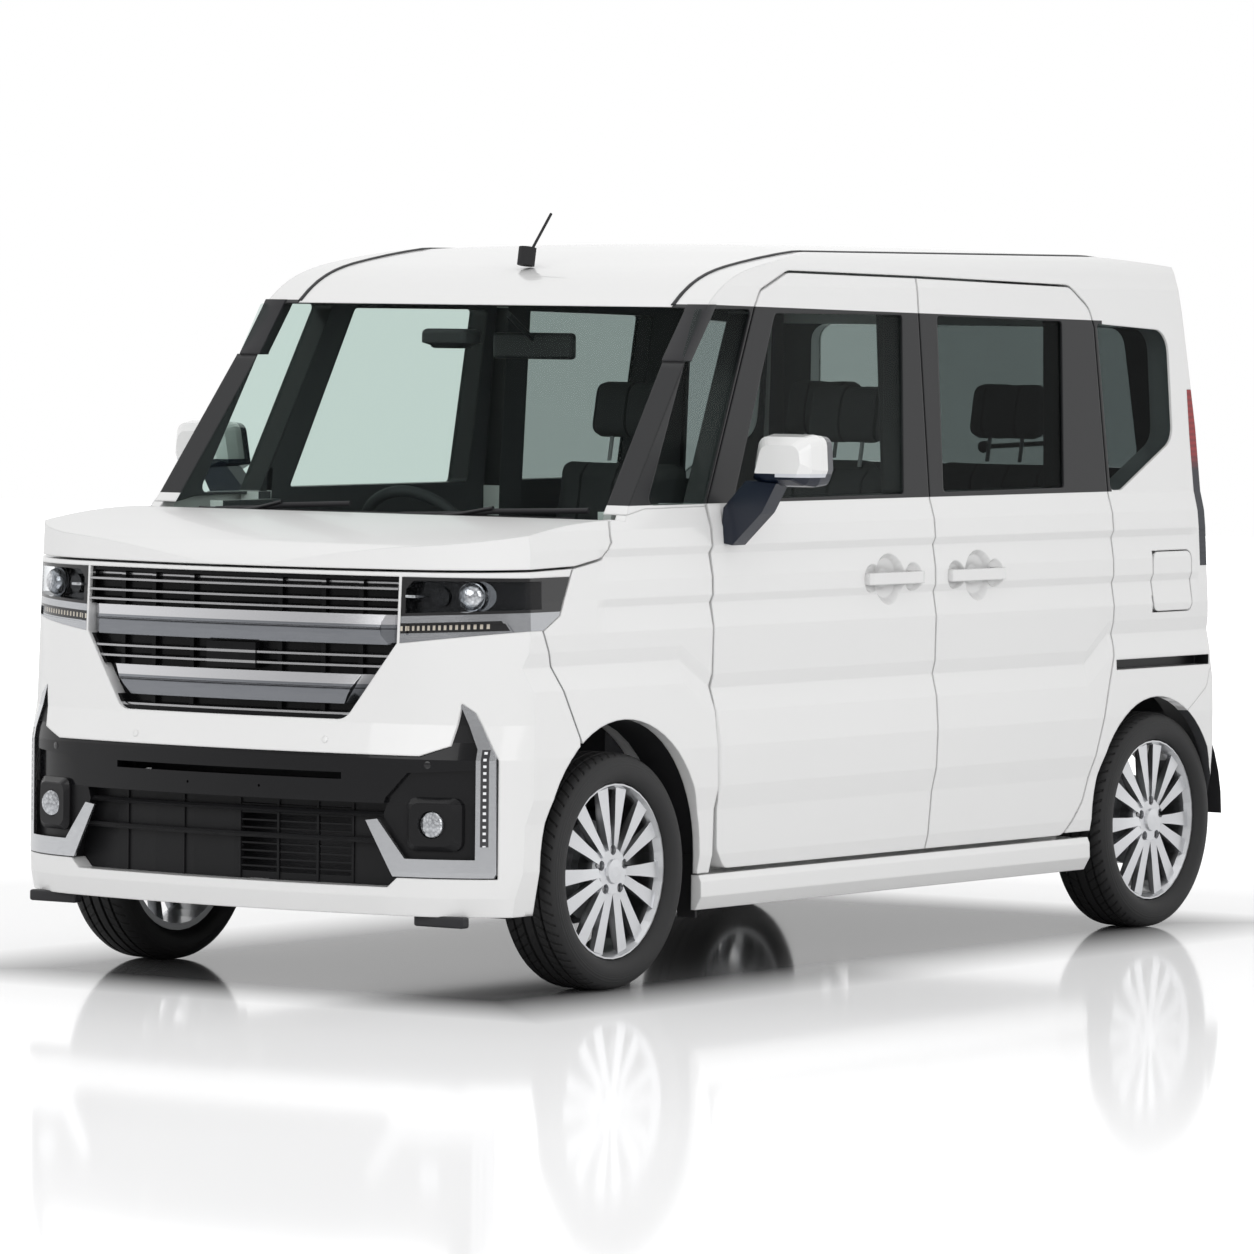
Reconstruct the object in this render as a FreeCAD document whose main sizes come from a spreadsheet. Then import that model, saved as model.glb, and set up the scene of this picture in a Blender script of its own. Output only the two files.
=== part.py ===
import FreeCAD, Part
import math
import os
import re

# Tall-box kei car. Millimetres, +Z up, front towards -Y, the car's left side at +X.
# The origin is on the ground, under the middle of the car.

Vector = FreeCAD.Vector
doc = FreeCAD.newDocument("kei_car")
sheet = doc.addObject("Spreadsheet::Sheet", "Sizes")

driving_sizes = {
    # overall
    "overall_length": 3395,
    "overall_width": 1475,
    "roof_height": 1765,
    "wheel_base": 2460,
    "front_overhang": 597.5,
    "sill_height": 262,
    # heights on the body side
    "belt_height": 1135,
    "window_height": 1592,
    "header_height": 1605,
    "lamp_top_height": 1000,
    "lamp_bottom_height": 860,
    "crease_upper_height": 1032,
    "crease_lower_height": 915,
    "character_line_height": 718,
    "flare_height": 560,
    "arch_line_rise": 72,
    # stations along the body side
    "door_front": -714,
    "door_middle": 276,
    "door_rear": 1132,
    "cowl": -1135,
    "screen_base": -1070,
    "screen_top": -672,
    "roof_rear": 1512,
    "crease_start": -1160,
    "crease_end": 1560,
    "line_drop_start": -849,
    "line_rise_start": 1000,
    # widths
    "belt_inset": 38,
    "roof_side_inset": 82,
    "crease_depth": 8,
    "flare_depth": 24,
    "nose_half_width": 470,
    "nose_sag": 42,
    "corner_length": 330,
    # shells and gaps
    "shut_gap": 6,
    "lid_gap": 8,
    "chord_height": 0.5,
    "glass_thickness": 5,
    "glass_inset": 6,
    "door_thickness": 74,
    "roof_thickness": 38,
    "panel_thickness": 30,
    "tailgate_thickness": 60,
    "plate_hole_spacing": 210,
    "plate_hole_radius": 3.2,
    "front_plate_height": 484,
    "rear_plate_height": 880,
    "trim_clearance": 0.3,
    "pin_clearance": 0.3,
    "moving_clearance": 7,
    # hinges
    "door_hinge_depth": 40,
    "door_hinge_set_back": 42,
    "door_nose_radius": 46,
    "hinge_pin_radius": 5,
    "lid_nose_radius": 31,
    "lid_swing_radius": 43,
    "tailgate_hinge_set_back": 33,
    "bonnet_hinge_set_back": 50,
    "bonnet_hinge_height": 1078,
    "cowl_lip_radius": 54,
    # cabin
    "floor_top": 330,
    "floor_thickness": 30,
    "load_floor_top": 500,
    "firewall": -930,
    "bulkhead_joint_height": 700,
    "load_step": 1180,
    # wheels
    "tyre_radius": 281,
    "tyre_width": 165,
    "track": 1290,
    "rim_radius": 200,
    "rim_width": 114,
    "flange_height": 9,
    "hub_radius": 60,
    "hub_bore_radius": 27,
    "stud_circle_radius": 50,
    "arch_radius": 330,
    "arch_rise": 29,
    "rear_arch_radius": 305,
    "rear_arch_rise": 19,
    "rear_arch_shift": 28,
    "arch_lip": 30,
    "well_radius": 362,
    "well_depth": 315,
    "disc_radius": 118,
    "kingpin_spacing": 1176,
    "kingpin_top_offset": 116,
    "kingpin_top_height": 780,
    "rail_inner": 330,
    "rail_outer": 382,
    "rail_low": 440,
    "rail_high": 520,
    "spoke_pairs": 7,
    "pair_angle": 22,
    "spoke_rim_width": 40,
    "spoke_hub_width": 21,
    # interior
    "seat_width": 500,
    "seat_height": 690,
    "steering_wheel_radius": 178,
    "column_angle": 28,
    # face of the car
    "upper_bar_height": 856,
    "lower_bar_height": 716,
    "bar_half_height": 35,
    "intake_low": 262,
    "lip_low": 196,
    "fog_lamp_x": 560,
    "fog_lamp_height": 410,
    "handle_height": 943,
    "rail_groove_low": 680,
    "rail_groove_high": 706,
    # masses under the floor and bonnet
    "engine_length": 300,
    "engine_height": 400,
    "engine_front": -1460,
    "engine_low": 300,
    "radiator_depth": 40,
    "radiator_height": 380,
    "radiator_front": -1540,
    "radiator_low": 262,
    "tank_left": -180,
    "tank_width": 520,
    "tank_length": 520,
    "tank_height": 120,
    "tank_front": 0,
}

for row, (alias, value) in enumerate(driving_sizes.items(), start=1):
    sheet.set(f"A{row}", alias.replace("_", " "))
    sheet.set(f"B{row}", str(value))
    sheet.setAlias(f"B{row}", alias)
doc.recompute()


def size(alias):
    return float(sheet.get(alias))


def linked(text):
    # A formula on the sheet: each alias in the text is read from the sheet.
    return re.sub("[a-z_]+", lambda word: "Sizes." + word.group(), text)


parts = {}


def keep(label, item):
    item.Label = label
    parts[label] = item
    return item


def piece(label, shape):
    # One named sub-part whose form comes from surfaces of the body.
    feature = doc.addObject("Part::Feature", label)
    feature.Shape = shape
    return keep(label, feature)


def primitive(kind, name, where, **formulas):
    item = doc.addObject("Part::" + kind, name)
    for property_name, text in formulas.items():
        item.setExpression(property_name, linked(text))
    for axis, text in zip("xyz", where):
        item.setExpression("Placement.Base." + axis, linked(text))
    return item


half_length = size("overall_length") / 2
half_width = size("overall_width") / 2
front_axle = -half_length + size("front_overhang")
rear_axle = front_axle + size("wheel_base")
axle_height = size("tyre_radius")
wheel_x = size("track") / 2
gap = size("shut_gap")


# Outlines and slabs

def on_side(a, b):
    return Vector(0, a, b)


def on_front(a, b):
    return Vector(a, 0, b)


def on_plan(a, b):
    return Vector(a, b, 0)


def chord_count(radius, turn):
    # How many chords lie within the chord height of an arc of this radius and turn.
    step = 2 * math.acos(max(0.0, 1 - size("chord_height") / radius))
    return max(2, math.ceil(turn / step))


def chords(start, middle, end, radius, turn):
    # Points on the arc from start to end through middle.
    return Part.Arc(start, middle, end).toShape().discretize(Number=chord_count(radius, turn) + 1)


def outline(points, place):
    # A closed wire through corner points (a, b) or (a, b, radius), rounded by fine chords.
    count = len(points)
    corners = [place(p[0], p[1]) for p in points]
    radii = [p[2] if len(p) > 2 else 0 for p in points]
    starts, ends, middles = [], [], []
    for i in range(count):
        before = (corners[i - 1] - corners[i]).normalize()
        after = (corners[(i + 1) % count] - corners[i]).normalize()
        half_angle = before.getAngle(after) / 2
        reach = radii[i] / math.tan(half_angle) if radii[i] else 0
        starts.append(corners[i] + before * reach)
        ends.append(corners[i] + after * reach)
        bisector = (before + after).normalize() if radii[i] else before
        middles.append(corners[i] + bisector * (radii[i] / math.sin(half_angle) - radii[i]))
    edges = []
    for i in range(count):
        if radii[i]:
            before = corners[i - 1] - corners[i]
            turn = math.pi - before.getAngle(corners[(i + 1) % count] - corners[i])
            places = chords(starts[i], middles[i], ends[i], radii[i], turn)
            edges += [Part.LineSegment(a, b).toShape() for a, b in zip(places, places[1:])]
        following = starts[(i + 1) % count]
        if ends[i].distanceToPoint(following) > 1e-6:
            edges.append(Part.LineSegment(ends[i], following).toShape())
    return Part.Wire(edges)


def slab(points, place, low, high):
    # The outline made solid, from low to high along the axis that it faces.
    facing = {on_side: Vector(1, 0, 0), on_front: Vector(0, 1, 0), on_plan: Vector(0, 0, 1)}[place]
    wire = points if isinstance(points, Part.Wire) else outline(points, place)
    wire = wire.copy()
    wire.translate(facing * low)
    return Part.Face(wire).extrude(facing * (high - low))


def block(x_low, x_high, y_low, y_high, z_low, z_high):
    return Part.makeBox(x_high - x_low, y_high - y_low, z_high - z_low, Vector(x_low, y_low, z_low))


def round_wire(centre, direction, radius, sides):
    # A many-sided ring with one corner at the lowest point of a level axis.
    turn = FreeCAD.Rotation(Vector(0, 0, 1), direction)
    corners = []
    for i in range(sides + 1):
        angle = 2 * math.pi * i / sides
        corners.append(centre + turn.multVec(Vector(radius * math.cos(angle), radius * math.sin(angle), 0)))
    return Part.makePolygon(corners)


def lathe(points, centre, sides, direction=Vector(1, 0, 0)):
    # A solid of bands about an axis: points are (distance along the axis, radius).
    unit = Vector(direction).normalize()
    wires = [round_wire(centre + unit * along, unit, radius, sides) for along, radius in points]
    return Part.makeLoft(wires, True, True)


def rod(start, end, radius, exact=False):
    # A round bar: a true cylinder where it fits or turns in another piece.
    start, end = Vector(*start), Vector(*end)
    if exact:
        return Part.makeCylinder(radius, start.distanceToPoint(end), start, end - start)
    sides = max(8, chord_count(radius, 2 * math.pi))
    return lathe([(0, radius), (start.distanceToPoint(end), radius)], start, sides, end - start)


def mirrored(shape):
    return shape.mirror(Vector(0, 0, 0), Vector(1, 0, 0))


def pair(shape):
    return Part.makeCompound([shape, mirrored(shape)])


def shrunk(points, place, distance):
    wire = outline(points, place)
    return Part.Face(wire).makeOffset2D(-distance).OuterWire if distance else wire


def largest(shape):
    return max(shape.Solids, key=lambda solid: solid.Volume)


# Outer form of the body

def side_points(rise, crease):
    # Half section of the body side as (inset, height) from the sill up to the belt.
    line = size("character_line_height") + rise
    low, up = size("crease_lower_height"), size("crease_upper_height")
    flare = size("flare_height")
    waist = 16
    return [
        (34, size("sill_height") - 90), (11, size("sill_height") + 38), (9, flare - 150),
        (0, flare - 95), (0, flare), (8, line - 75),
        (size("flare_depth"), line - 18), (waist, line + 15),
        (waist - 2, low - 70), (waist + crease, low - 10), (waist + 1, low + 8),
        (waist + 2, up - 67), (waist + crease + 3, up - 10), (waist + 3, up + 8),
        (waist + 7, size("belt_height") - 50), (size("belt_inset"), size("belt_height")),
    ]


def both_sides(points, y):
    # The closed section through these points of the left side and their mirror places.
    left = [Vector(half_width - inset, y, height) for inset, height in points]
    right = [Vector(-p.x, y, p.z) for p in reversed(left)]
    return Part.makePolygon(left + right + [left[0]])


def body_sides():
    # Up to the belt: sections in a row, so that the line climbs over both arches and the creases fade out.
    rise, crease = size("arch_line_rise"), size("crease_depth")
    fade = 40
    stations = [
        (-half_length - 50, rise, 0), (size("crease_start") - fade, rise, 0), (size("crease_start"), rise, crease),
        (size("line_drop_start"), rise, crease), (size("door_front"), 0, crease),
        (size("line_rise_start"), 0, crease), (size("door_rear") - 25, rise, crease),
        (size("crease_end") - fade, rise, crease), (size("crease_end"), rise, 0), (half_length + 50, rise, 0),
    ]
    wires = [both_sides(side_points(lift, depth), y) for y, lift, depth in stations]
    return Part.makeLoft(wires, True, True).removeSplitter()


def body_top():
    # From the belt up: window slope, shoulder and crown.
    roof_edge = size("roof_side_inset") + 8
    side = [
        (size("belt_inset"), size("belt_height")), (size("roof_side_inset"), size("roof_height") - 105),
        (roof_edge, size("roof_height") - 70),
    ]
    points = [on_front(half_width - inset, height) for inset, height in side]
    edges = [Part.LineSegment(a, b).toShape() for a, b in zip(points, points[1:])]
    top = on_front(half_width - roof_edge - 70, size("roof_height") - 22)
    bulge = (points[-1] + top) * 0.5 + on_front(15, 12)
    edges.append(Part.Arc(points[-1], bulge, top).toShape())
    mirror_edges = [edge.mirror(Vector(0, 0, 0), Vector(1, 0, 0)) for edge in edges]
    crown = Part.Arc(top, on_front(0, size("roof_height")), Vector(-top.x, 0, top.z)).toShape()
    belt_line = Part.LineSegment(points[0], Vector(-points[0].x, 0, points[0].z)).toShape()
    wire = Part.Wire(Part.__sortEdges__(edges + [crown] + mirror_edges + [belt_line]))
    return slab(wire, on_front, -half_length - 50, half_length + 50)


def plan_wire(height, front_back, rear_back):
    # The body's plan outline at one height, set back from the bumper faces.
    wide = half_width + 20
    nose = size("nose_half_width")
    sag = size("nose_sag")
    reach = size("corner_length")
    front = -half_length + front_back
    rear = half_length - rear_back
    tail, tail_sag, tail_reach = 600, 26, 130

    def at(x, y):
        return Vector(x, y, height)

    def corner(side, y, direction, inner, drop, length):
        curve = Part.BezierCurve()
        curve.setPoles([
            at(side * inner, y + direction * drop),
            at(side * (inner + (wide - inner) * 0.62), y + direction * (drop * 1.7)),
            at(side * wide, y + direction * (drop + (length - drop) * 0.48)),
            at(side * wide, y + direction * length),
        ])
        return curve.toShape()

    edges = [
        Part.Arc(at(-nose, front + sag), at(0, front), at(nose, front + sag)).toShape(),
        corner(1, front, 1, nose, sag, reach),
        Part.LineSegment(at(wide, front + reach), at(wide, rear - tail_reach)).toShape(),
        corner(1, rear, -1, tail, tail_sag, tail_reach),
        Part.Arc(at(tail, rear - tail_sag), at(0, rear), at(-tail, rear - tail_sag)).toShape(),
        corner(-1, rear, -1, tail, tail_sag, tail_reach),
        Part.LineSegment(at(-wide, rear - tail_reach), at(-wide, front + reach)).toShape(),
        corner(-1, front, 1, nose, sag, reach),
    ]
    return Part.Wire(Part.__sortEdges__(edges))


def plan_form():
    levels = [
        (150, 26, 18), (240, 2, 2), (300, 0, 0), (560, 0, 0), (640, 20, 0), (700, 24, 12),
        (980, 38, 30), (1300, 60, 55), (1600, 90, 98), (1850, 120, 150),
    ]
    wires = [plan_wire(height, front, rear) for height, front, rear in levels]
    return Part.makeLoft(wires, True, True)


def side_form():
    # Silhouette of bonnet, windscreen and roof on the centre plane.
    nose = -half_length - 30
    tail = half_length + 30
    bonnet_front = -half_length + 38
    roof = size("roof_height")
    header = size("header_height")
    screen_top = size("screen_top")
    rear = size("roof_rear")
    low = [
        (nose, 150), (nose, size("lamp_top_height") - 16), (bonnet_front, size("lamp_top_height") - 16),
    ]
    points = [on_side(*p) for p in low]
    edges = [Part.LineSegment(a, b).toShape() for a, b in zip(points, points[1:])]
    lip = on_side(bonnet_front + 62, size("lamp_top_height") + 54)
    edges.append(Part.Arc(points[-1], on_side(bonnet_front + 16, size("lamp_top_height") + 26), lip).toShape())
    cowl = on_side(size("cowl") + 30, 1108)
    bow = (lip + cowl) * 0.5 + on_side(0, 14)
    edges.append(Part.Arc(lip, bow, cowl).toShape())
    base = on_side(size("screen_base"), 1104)
    top = on_side(screen_top, header)
    edges.append(Part.LineSegment(cowl, base).toShape())
    edges.append(Part.LineSegment(base, top).toShape())
    brow = on_side(screen_top + 32, header + 24)
    edges.append(Part.LineSegment(top, brow).toShape())
    roof_curve = Part.BSplineCurve()
    roof_curve.interpolate([
        brow, on_side(screen_top + 112, header + 68), on_side(screen_top + 272, header + 107),
        on_side(screen_top + 560, roof - 18), on_side(300, roof), on_side(900, roof - 5),
        on_side(rear, roof - 42),
    ])
    edges.append(roof_curve.toShape())
    back = [on_side(rear, roof - 42), on_side(tail, roof - 62), on_side(tail, 150), points[0]]
    edges += [Part.LineSegment(a, b).toShape() for a, b in zip(back, back[1:])]
    return slab(Part.Wire(edges), on_side, -half_width - 30, half_width + 30)


section_form = body_sides().fuse(body_top())
plan_shape = plan_form()
envelope = plan_shape.common(section_form).common(side_form())


# Hollow spaces inside the body

def cabin_section(wall, low, roof_drop):
    # The cabin's inner section, parallel to the side at the given wall thickness.
    top = size("roof_height") - roof_drop
    belt = half_width - size("belt_inset") - wall + 14
    rail = half_width - size("roof_side_inset") - wall + 22
    foot = half_width - 11 - wall
    right = [(foot - 6, low), (foot, low + 80), (belt + 2, size("belt_height") - 60),
             (rail, size("window_height") + 20), (rail - 28, top - 34), (rail - 110, top - 14)]
    left = [(-x, z) for x, z in reversed(right)]
    return right + left


def cabin_side(front, rear, low, inset, roof_drop):
    # The cabin's inner side view: dash, windscreen, roof and tail.
    roof = size("roof_height") - roof_drop
    base = size("screen_base") + inset
    top = size("screen_top") + inset
    return [
        (front, low), (front, size("belt_height") - 110), (base + 10, size("belt_height") - 80),
        (base, size("belt_height") - 30), (top, size("header_height") - 8),
        (top + 110, roof - 52), (top + 300, roof - 22), (top + 600, roof - 4),
        (900, roof - 4), (size("roof_rear"), roof - 44), (rear - 40, roof - 120), (rear, low + 300),
        (rear, low),
    ]


def hollow(wall, low, roof_drop, inset, rear):
    inner = slab(cabin_section(wall, low, roof_drop), on_front, -half_length, half_length)
    side = cabin_side(size("firewall"), rear, low, inset, roof_drop)
    return inner.common(slab(side, on_side, -half_width, half_width))


door_wall = size("door_thickness")
tail_inner = half_length - 100 - size("tailgate_thickness")
cabin = hollow(door_wall, 150, size("roof_thickness"), 40, tail_inner)
body_cabin = hollow(door_wall + size("moving_clearance"), size("floor_top"), size("roof_thickness"), 40, tail_inner)

engine_bay = block(-540, 540, -half_length + 120, size("firewall") - 40, 0, size("lamp_top_height") - 30)


def ring_sides(radius):
    # Sides of a large round opening, a multiple of four.
    return 4 * math.ceil(chord_count(radius, 2 * math.pi) / 4)


def wheel_well(axle, side):
    # The space round the wheel, inside the outer panel.
    depth = size("well_depth")
    radius = size("well_radius")
    outer_x = half_width - size("arch_lip")
    centre = Vector(outer_x - depth, axle, axle_height)
    tube = lathe([(0, radius), (depth, radius)], centre, ring_sides(radius))
    well = tube.fuse(block(centre.x, outer_x, axle - radius, axle + radius, 0, axle_height))
    return well if side > 0 else mirrored(well)


def arch_opening(axle, side):
    # The opening in the outer panel, round above and straight below.
    front = axle < 0
    radius = size("arch_radius") if front else size("rear_arch_radius")
    y = axle if front else axle - size("rear_arch_shift")
    z = axle_height + (size("arch_rise") if front else size("rear_arch_rise"))
    low_x, high_x = half_width - 120, half_width + 80
    tube = lathe([(0, radius), (high_x - low_x, radius)], Vector(low_x, y, z), ring_sides(radius))
    opening = tube.fuse(block(low_x, high_x, y - radius, y + radius, 0, z))
    return opening if side > 0 else mirrored(opening)


wells = [wheel_well(axle, side) for axle in (front_axle, rear_axle) for side in (1, -1)]


# Shut lines on the body side, as (y, z, corner radius)

sill = size("sill_height")
belt = size("belt_height")
window_top = size("window_height")
door_top = window_top + 98
front_edge = size("door_front")
middle_edge = size("door_middle")
rear_edge = size("door_rear")

front_door_line = [
    (front_edge + 57, sill, 40), (front_edge + 14, sill + 45, 40), (front_edge, 700, 60), (front_edge, belt + 5),
    (-462, window_top + 13), (-430, window_top + 58, 30), (-298, door_top + 6, 60), (middle_edge, door_top - 4),
    (middle_edge, 700, 60), (middle_edge - 12, 480, 90), (middle_edge - 36, sill),
]
sliding_door_line = [
    (middle_edge - 36, sill), (middle_edge - 12, 480, 90), (middle_edge, 700, 60), (middle_edge, door_top - 4),
    (1000, door_top - 22, 60), (1092, window_top + 20, 60), (1112, window_top - 30), (rear_edge, belt, 20),
    (rear_edge, 740, 60), (1068, 560, 90), (978, 345, 90), (892, sill, 40),
]
front_glass_line = [
    (-598, belt + 12, 6), (-372, window_top + 2, 14), (199, window_top, 10), (158, belt + 14, 10),
]
sliding_glass_line = [
    (342, belt + 16, 10), (360, window_top - 2, 10), (955, window_top - 14, 10), (917, belt + 18, 10),
]
quarter_front_line = [
    (-968, belt + 4, 16), (-700, window_top + 12, 10), (-474, window_top + 12, 10), (-722, belt + 4, 6),
]
quarter_rear_line = [
    (1146, belt + 8, 14), (1126, window_top - 20, 10), (1480, window_top - 38, 60), (1475, 1270, 60), (1200, belt + 8, 40),
]


def side_slab(line, side, low=520, high=800, inset=0.0):
    wire = shrunk(line, on_side, inset)
    low_x, high_x = (low, high) if side > 0 else (-high, -low)
    return slab(wire, on_side, low_x, high_x)


def parallel_skin(depth, thickness):
    # A layer of the body side, lying this deep under the surface.
    outer = section_form.copy()
    outer.translate(Vector(-depth, 0, 0))
    inner = section_form.copy()
    inner.translate(Vector(-depth - thickness, 0, 0))
    left = outer.cut(inner).common(block(300, 800, -half_length, half_length, 100, 1700))
    return left


glass_layer = parallel_skin(size("glass_inset"), size("glass_thickness"))


def side_glass(line):
    return glass_layer.common(side_slab(line, 1, inset=size("trim_clearance")))


# Doors, panels and frame

hinge_x = half_width - size("door_hinge_depth")
hinge_y = front_edge + size("door_hinge_set_back")
hinge_heights = (430, 945)
eye_radius = 9
pin_radius = size("hinge_pin_radius")


def upright(x, y, radius, low, high, exact=False):
    return rod((x, y, low), (x, y, high), radius, exact)


handle_face = half_width - 1.5


def bowl(y, radius, depth):
    # A round hand hollow in the door skin, open outwards.
    surface = half_width - 17
    rings = [(-depth, radius * 0.35), (-depth * 0.75, radius * 0.72), (0, radius), (30, radius * 1.02)]
    return lathe(rings, Vector(surface, y, size("handle_height")), 20)


def handle_hollow(front, rear, middle):
    return [bowl(middle, 69, 24), bowl(front + 34, 40, 16), bowl(rear - 34, 40, 16)]


def handle_bar(front, rear):
    # The pull handle across the hollow, thicker at the ends that meet the door.
    root = half_width - 42
    line = [(root, front), (handle_face - 5, front), (handle_face, front + 14), (handle_face, rear - 14),
            (handle_face - 5, rear), (root, rear), (root, rear - 34), (handle_face - 12, rear - 40),
            (handle_face - 12, front + 40), (root, front + 34)]
    return slab(line, on_plan, size("handle_height") - 15, size("handle_height") + 15)


front_handle = {"front": -44, "rear": 208, "middle": 66}
rear_handle = {"front": 338, "rear": 590, "middle": 480}


def door_hinge_space():
    # The rounded front end of the door needs a hollow of the same centre in the pillar and fender.
    return upright(hinge_x, hinge_y, size("door_nose_radius") + gap, sill - 6, belt + 2)


def front_door(side):
    door = envelope.common(side_slab(front_door_line, 1, inset=gap / 2)).cut(cabin)
    ahead = block(500, 800, front_edge - 20, hinge_y, 0, belt + 60)
    door = door.cut(ahead.cut(upright(hinge_x, hinge_y, size("door_nose_radius"), 0, belt + 100)))
    # The rear end is turned about the hinge, so that the inner edge swings past the next door.
    reach = middle_edge - gap / 2 - hinge_y
    door = door.common(upright(hinge_x, hinge_y, reach + 0.4, 0, 1900))
    tools = [side_slab(front_glass_line, 1, low=400)]
    bore = pin_radius + size("pin_clearance")
    slot = eye_radius + size("moving_clearance")
    for height in hinge_heights:
        tools.append(block(500, hinge_x + slot, front_edge - 60, hinge_y + slot, height - 18, height + 18))
        tools.append(upright(hinge_x, hinge_y, bore, height - 38, height + 38, True))
    door = door.cut(tools + handle_hollow(**front_handle))
    return door.fuse(handle_bar(front_handle["front"], front_handle["rear"]))


def door_hinges():
    # Bracket and pin of both hinges, on the pillar side.
    shapes = []
    for height in hinge_heights:
        low, high = height - 10, height + 10
        arm = slab([(hinge_x, hinge_y + eye_radius), (620, hinge_y + eye_radius), (620, front_edge - 14),
                    (640, front_edge - 14), (640, hinge_y - eye_radius), (hinge_x, hinge_y - eye_radius)],
                   on_plan, low, high)
        shapes += [arm, upright(hinge_x, hinge_y, eye_radius, low, high)]
        shapes.append(upright(hinge_x, hinge_y, pin_radius, height - 34, height + 34, True))
    return shapes


def sliding_door(side):
    door = envelope.common(side_slab(sliding_door_line, 1, inset=gap / 2)).cut(cabin)
    door = door.cut([side_slab(sliding_glass_line, 1, low=400)] + handle_hollow(**rear_handle))
    door = door.fuse(handle_bar(rear_handle["front"], rear_handle["rear"]))
    roller_arms = [block(636 + size("pin_clearance"), 670, y, y + 60, 290, 310) for y in (330, 800)]
    return door.multiFuse(roller_arms)


roof_line = [
    (size("screen_top") + 60, size("header_height") + 2), (-300, door_top - 6), (300, door_top - 14),
    (1000, door_top - 30), (size("roof_rear") - 6, door_top - 60), (size("roof_rear") - 6, size("roof_height") - 75),
    (size("roof_rear") + size("tailgate_hinge_set_back"), size("roof_height") - 75),
    (size("roof_rear") + size("tailgate_hinge_set_back"), 1900), (-900, 1900), (-900, size("header_height") + 2),
]
tailgate_line = [
    (-600, 700, 20), (600, 700, 20), (612, 1000), (580, 1600, 30), (560, 1660, 20), (545, 1780),
    (-545, 1780), (-560, 1660, 20), (-580, 1600, 30), (-612, 1000),
]
tailgate_window_line = [
    (-520, 1190, 50), (520, 1190, 50), (490, 1560, 50), (-490, 1560, 50),
]


def spoiler():
    profile = [
        (size("roof_rear") + 2, size("roof_height") - 92), (size("roof_rear") + 2, size("roof_height") - 46),
        (1578, size("roof_height") - 50, 40), (1672, size("roof_height") - 122, 6),
        (1668, size("roof_height") - 152, 8), (1570, size("roof_height") - 160),
    ]
    wedge = slab(profile, on_side, -575, 575)
    return wedge.common(section_form)


tail_zone = slab(tailgate_line, on_front, 1400, half_length + 60)
tail_wall_line = [
    (size("roof_rear") + 2, 1800), (size("roof_rear") + 2, size("roof_height") - 90),
    (half_length - 100 - size("tailgate_thickness"), size("roof_height") - 170),
    (half_length - 30 - size("tailgate_thickness"), 980), (half_length - 12 - size("tailgate_thickness"), 600),
    (half_length + 60, 600), (half_length + 60, 1800),
]
tail_wall = slab(tail_wall_line, on_side, -640, 640)

lid_hinge = Vector(0, size("roof_rear") + size("tailgate_hinge_set_back"), size("roof_height") - 75)
lid_hinge_x = 400


def crosswise(point, radius, low_x, high_x, exact=False):
    return rod((low_x, point.y, point.z), (high_x, point.y, point.z), radius, exact)


def tailgate():
    solid = envelope.fuse(spoiler()).common(tail_zone).common(tail_wall)
    ahead = block(-700, 700, 1400, lid_hinge.y, 1500, 1900)
    tools = [ahead.cut(crosswise(lid_hinge, size("lid_nose_radius"), -700, 700)), tailgate_window]
    for x in (lid_hinge_x, -lid_hinge_x):
        tools.append(block(x - 15, x + 15, lid_hinge.y - 60, lid_hinge.y + 14, lid_hinge.z - 40, lid_hinge.z + 60))
        tools.append(crosswise(lid_hinge, pin_radius + size("pin_clearance"), x - 36, x + 36, True))
    return solid.cut(tools + plate_holes(size("rear_plate_height"), half_length - 24, 30))


def roof_panel():
    wide = 560 - size("trim_clearance")
    panel = envelope.common(slab(roof_line, on_side, -wide, wide)).cut(cabin)
    panel = panel.cut(crosswise(lid_hinge, size("lid_swing_radius"), -700, 700))
    rear = size("roof_rear")
    header = block(-540, 540, rear - 80, rear - 36, lid_hinge.z - 66, lid_hinge.z + 10)
    arms = [header]
    for x in (lid_hinge_x, -lid_hinge_x):
        arm = slab([(lid_hinge.y + 6, lid_hinge.z), (lid_hinge.y - 6, lid_hinge.z + 6), (rear - 37, lid_hinge.z - 22),
                    (rear - 37, lid_hinge.z - 52)], on_side, x - 9, x + 9)
        arms += [arm, crosswise(lid_hinge, pin_radius, x - 33, x + 33, True)]
    return panel.multiFuse(arms)


tailgate_window = slab(tailgate_window_line, on_front, 1300, half_length + 60)

bonnet_hinge = Vector(0, size("cowl") + size("bonnet_hinge_set_back"), size("bonnet_hinge_height"))
bonnet_hinge_x = 500
cowl_lip = size("cowl_lip_radius")

bonnet_line = [
    (-half_length - 20, size("lamp_top_height") - 6), (-1290, size("lamp_top_height") + 4),
    (-1172, size("lamp_top_height") + 22, 12), (size("cowl"), size("lamp_top_height") + 64),
    (size("cowl") + 12, 1200), (-half_length - 20, 1200),
]
bonnet_zone = slab(bonnet_line, on_side, -half_width - 20, half_width + 20)


def bonnet():
    outer = envelope.common(bonnet_zone)
    inner = envelope.copy()
    inner.translate(Vector(0, size("panel_thickness"), -size("panel_thickness")))
    narrow = block(-half_width + 50, half_width - 50, -half_length, size("cowl") - 34, 900, 1200)
    skin = largest(outer.cut(inner.common(narrow)))
    # The rear edge runs on a circle about the hinge, clear of the cowl's lip.
    skin = skin.cut(crosswise(bonnet_hinge, cowl_lip + size("moving_clearance"), -800, 800))
    return largest(skin).multiFuse(bonnet_arms())


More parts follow.
